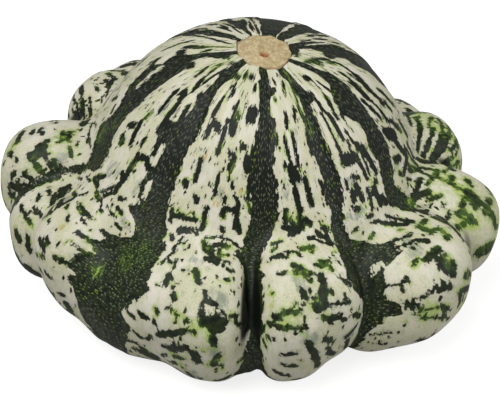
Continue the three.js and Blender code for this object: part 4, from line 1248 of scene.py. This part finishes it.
class SquashRindSettings(PropertyGroup):
    """Colours and relief of the rind."""

    pale: colour_property("Pale", "Palest skin between the marks", shade(216, 211, 195))
    cream: colour_property("Cream", "Warmer pale skin", shade(204, 201, 172))
    greenish: colour_property("Greenish", "Streaks in the pale skin", shade(188, 195, 156))
    shadow: colour_property("Shadow", "Marks that lie under the skin", shade(116, 128, 116))
    # The dark colour is also the shade painted into the creases between lobes.
    dark: colour_property("Dark", "Darkest stripes and marks", shade(13, 18, 13))
    olive: colour_property("Olive", "Lighter parts of the dark", shade(40, 52, 26))
    leaf: colour_property("Leaf", "Leaf green places in the dark", shade(62, 88, 34))
    lime: colour_property("Lime", "Bright edges of the leaf green", shade(158, 182, 76))
    fringe: colour_property("Fringe", "Edges where dark meets pale", shade(126, 138, 84))
    fleck: colour_property("Fleck", "Small flecks in the dark", shade(170, 178, 150))
    speck: colour_property("Speck", "Corky specks", shade(180, 158, 88))
    raggedness: FloatProperty(
        name="Raggedness", description="How uneven the edges of the marks are", default=1.0,
        min=0, max=3, subtype="FACTOR")
    furrow: FloatProperty(
        name="Furrow", description="How far the dark stripes are sunk", default=0.0005,
        min=0, max=0.003, unit="LENGTH", subtype="DISTANCE")


class SquashScarSettings(PropertyGroup):
    """Colours of the stem scar."""

    cork: colour_property("Cork", "Dry cork", shade(178, 158, 116))
    cork_light: colour_property("Light cork", "Paler cork", shade(208, 191, 152))
    cork_dark: colour_property("Dark cork", "Fibres and the rim", shade(110, 88, 54))
    pit: colour_property("Pit", "Middle of the scar", shade(160, 88, 38))


class SquashStageSettings(PropertyGroup):
    """Floor, lights and camera."""

    floor: colour_property("Floor", "Plain pale floor", shade(168, 168, 166))
    floor_glow: FloatProperty(
        name="Floor glow", description="How much brighter the floor is where it is seen",
        default=0.8, min=0)
    key_power: FloatProperty(
        name="Key light", description="Power of the light at the upper left", default=20.5,
        min=0, unit="POWER")
    fill_power: FloatProperty(
        name="Fill light", description="Power of the light at the right", default=7,
        min=0, unit="POWER")
    sky_strength: FloatProperty(
        name="Sky", description="Strength of the soft light from all round", default=0.32,
        min=0)
    camera_distance: FloatProperty(
        name="Distance", description="Camera to the middle of the view", default=0.9,
        min=0.3, unit="LENGTH", subtype="DISTANCE")
    camera_height: FloatProperty(
        name="Elevation", description="How far above level the camera looks from",
        default=math.radians(38), subtype="ANGLE")
    lens: FloatProperty(
        name="Lens", description="Focal length of the camera", default=154.8,
        min=10, unit="CAMERA")


# ---- Operators ----------------------------------------------------------------------------

class SQUASH_OT_grow_rind(Operator):
    """Grow the squash's rind over its crown and lobes"""

    bl_idname = "squash.grow_rind"
    bl_label = "Grow rind"
    bl_options = {"REGISTER", "UNDO"}

    def execute(self, context):
        look = context.scene.squash_rind
        points, stem, normal = grow_skin()
        points = seat_scar(points, stem, normal)
        rows, columns = points.shape[:2]
        marks = markings(rows, columns)
        # How shut in each place is, for the shade painted into the creases.
        marks["crease"] = crease_shade_depth(points)
        sunk = look.furrow / MM * smoothstep(*FURROW_EDGE, marks["stripe"])
        sunk[: len(SEAT_RINGS)] = 0
        points = points - outward(points, LOBES) * sunk[..., None]
        points = points + ORIGIN_SHIFT
        points[..., 2] = np.maximum(points[..., 2], 0)
        piece = grid_object("rind", points, rind_material(look))
        for name, values in marks.items():
            add_attribute(piece, name, values)
        add_growth(piece, rows, columns)
        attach(piece, "root")
        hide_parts("fruit")
        return {"FINISHED"}


class SQUASH_OT_lay_scar(Operator):
    """Lay the corky scar of the stem in its seat on the crown"""

    bl_idname = "squash.lay_scar"
    bl_label = "Lay stem scar"
    bl_options = {"REGISTER", "UNDO"}

    def execute(self, context):
        look = context.scene.squash_scar
        stem = on_rind(np.array([*STEM_AT, 0.0]), np.array([0.0, 0.0, 1.0]), LOBES)
        normal = outward(stem, LOBES)
        points = scar_points(stem, normal)
        radius, _, flat = in_scar_frame(points, stem, normal)
        piece = grid_object("stem_scar_cork", points + ORIGIN_SHIFT, cork_material(look))
        add_attribute(piece, "radius", radius)
        add_attribute(piece, "pit", np.hypot(flat[..., 0] - PIT_AT[0], flat[..., 1] - PIT_AT[1]))
        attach(piece, "root")
        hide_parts("stem_scar")
        return {"FINISHED"}


class SQUASH_OT_set_stage(Operator):
    """Set out the floor, the lights and the camera"""

    bl_idname = "squash.set_stage"
    bl_label = "Set stage"
    bl_options = {"REGISTER", "UNDO"}

    def execute(self, context):
        look = context.scene.squash_stage
        add_floor(look)
        add_sky(look)
        add_light("key", (-0.6, -0.6, 1.45), 1.2, look.key_power)
        add_light("fill", (1.2, -0.35, 0.75), 0.9, look.fill_power)
        add_camera(look)
        context.scene.view_settings.view_transform = "Standard"
        return {"FINISHED"}


def add_floor(look):
    """A plain pale floor."""
    mesh = bpy.data.meshes.new("floor")
    half = 4
    corners = [(-half, -half, 0), (half, -half, 0), (half, half, 0), (-half, half, 0)]
    mesh.from_pydata(corners, [], [(0, 1, 2, 3)])
    material, wiring, surface = new_material("pale_floor")
    dust = wiring.noise(wiring.node("ShaderNodeTexCoord").outputs["Object"], 30, 3, 0.5)
    tone = wiring.mix(dust, look.floor, tuple(0.97 * part for part in look.floor))
    wiring.join(tone, surface.inputs["Base Color"])
    seen = wiring.node("ShaderNodeLightPath").outputs["Is Camera Ray"]
    surface.inputs["Emission Color"].default_value = (1, 1, 1, 1)
    wiring.join(wiring.math("MULTIPLY", seen, look.floor_glow), surface.inputs["Emission Strength"])
    surface.inputs["Roughness"].default_value = 0.9
    surface.inputs["Specular IOR Level"].default_value = 0.1
    mesh.materials.append(material)
    floor = bpy.data.objects.new("floor", mesh)
    bpy.context.scene.collection.objects.link(floor)


def add_sky(look):
    """Plain white all round."""
    world = bpy.data.worlds.new("sky")
    world.use_nodes = True
    background = world.node_tree.nodes["Background"]
    background.inputs["Color"].default_value = (1, 1, 1, 1)
    background.inputs["Strength"].default_value = look.sky_strength
    bpy.context.scene.world = world


def add_light(name, place, size, power):
    """A square soft light that looks at the middle of the fruit."""
    light = bpy.data.lights.new(name, "AREA")
    light.size = size
    light.energy = power
    lamp = bpy.data.objects.new(name, light)
    lamp.location = place
    middle = Vector((0, 0, 0.05))
    lamp.rotation_euler = (Vector(place) - middle).to_track_quat("Z", "Y").to_euler()
    bpy.context.scene.collection.objects.link(lamp)


def add_camera(look):
    """The camera, looking down at the front of the fruit."""
    height = look.camera_height
    back = Vector((0, -math.cos(height), math.sin(height)))
    up = Vector((0, math.sin(height), math.cos(height)))
    aim = Vector(AIM) * MM - up * AIM_LOWERED * MM
    camera = bpy.data.cameras.new("camera")
    camera.lens = look.lens
    camera.sensor_width = 36
    stand = bpy.data.objects.new("camera", camera)
    stand.location = aim + back * look.camera_distance
    stand.rotation_euler = (math.pi / 2 - height, 0, 0)
    bpy.context.scene.collection.objects.link(stand)
    bpy.context.scene.camera = stand


class SQUASH_PT_panel(Panel):
    """Steps that make the squash, and what they may be changed by"""

    bl_idname = "SQUASH_PT_panel"
    bl_label = "Pattypan Squash"
    bl_space_type = "VIEW_3D"
    bl_region_type = "UI"
    bl_category = "Squash"

    def draw(self, context):
        layout = self.layout
        for label, settings, operator in (
            ("Stage", "squash_stage", "squash.set_stage"),
            ("Rind", "squash_rind", "squash.grow_rind"),
            ("Stem scar", "squash_scar", "squash.lay_scar"),
        ):
            box = layout.box()
            box.label(text=label)
            group = getattr(context.scene, settings)
            for name in group.__annotations__:
                box.prop(group, name)
            box.operator(operator)


SETTINGS = {
    "squash_stage": SquashStageSettings,
    "squash_rind": SquashRindSettings,
    "squash_scar": SquashScarSettings,
}
CLASSES = (
    *SETTINGS.values(),
    SQUASH_OT_set_stage,
    SQUASH_OT_grow_rind,
    SQUASH_OT_lay_scar,
    SQUASH_PT_panel,
)


def register():
    for item in CLASSES:
        bpy.utils.register_class(item)
    for name, group in SETTINGS.items():
        setattr(bpy.types.Scene, name, PointerProperty(type=group))


def unregister():
    for name in SETTINGS:
        delattr(bpy.types.Scene, name)
    for item in reversed(CLASSES):
        bpy.utils.unregister_class(item)


def main():
    register()
    bpy.ops.squash.set_stage()
    bpy.ops.squash.grow_rind()
    bpy.ops.squash.lay_scar()


if __name__ == "__main__":
    main()
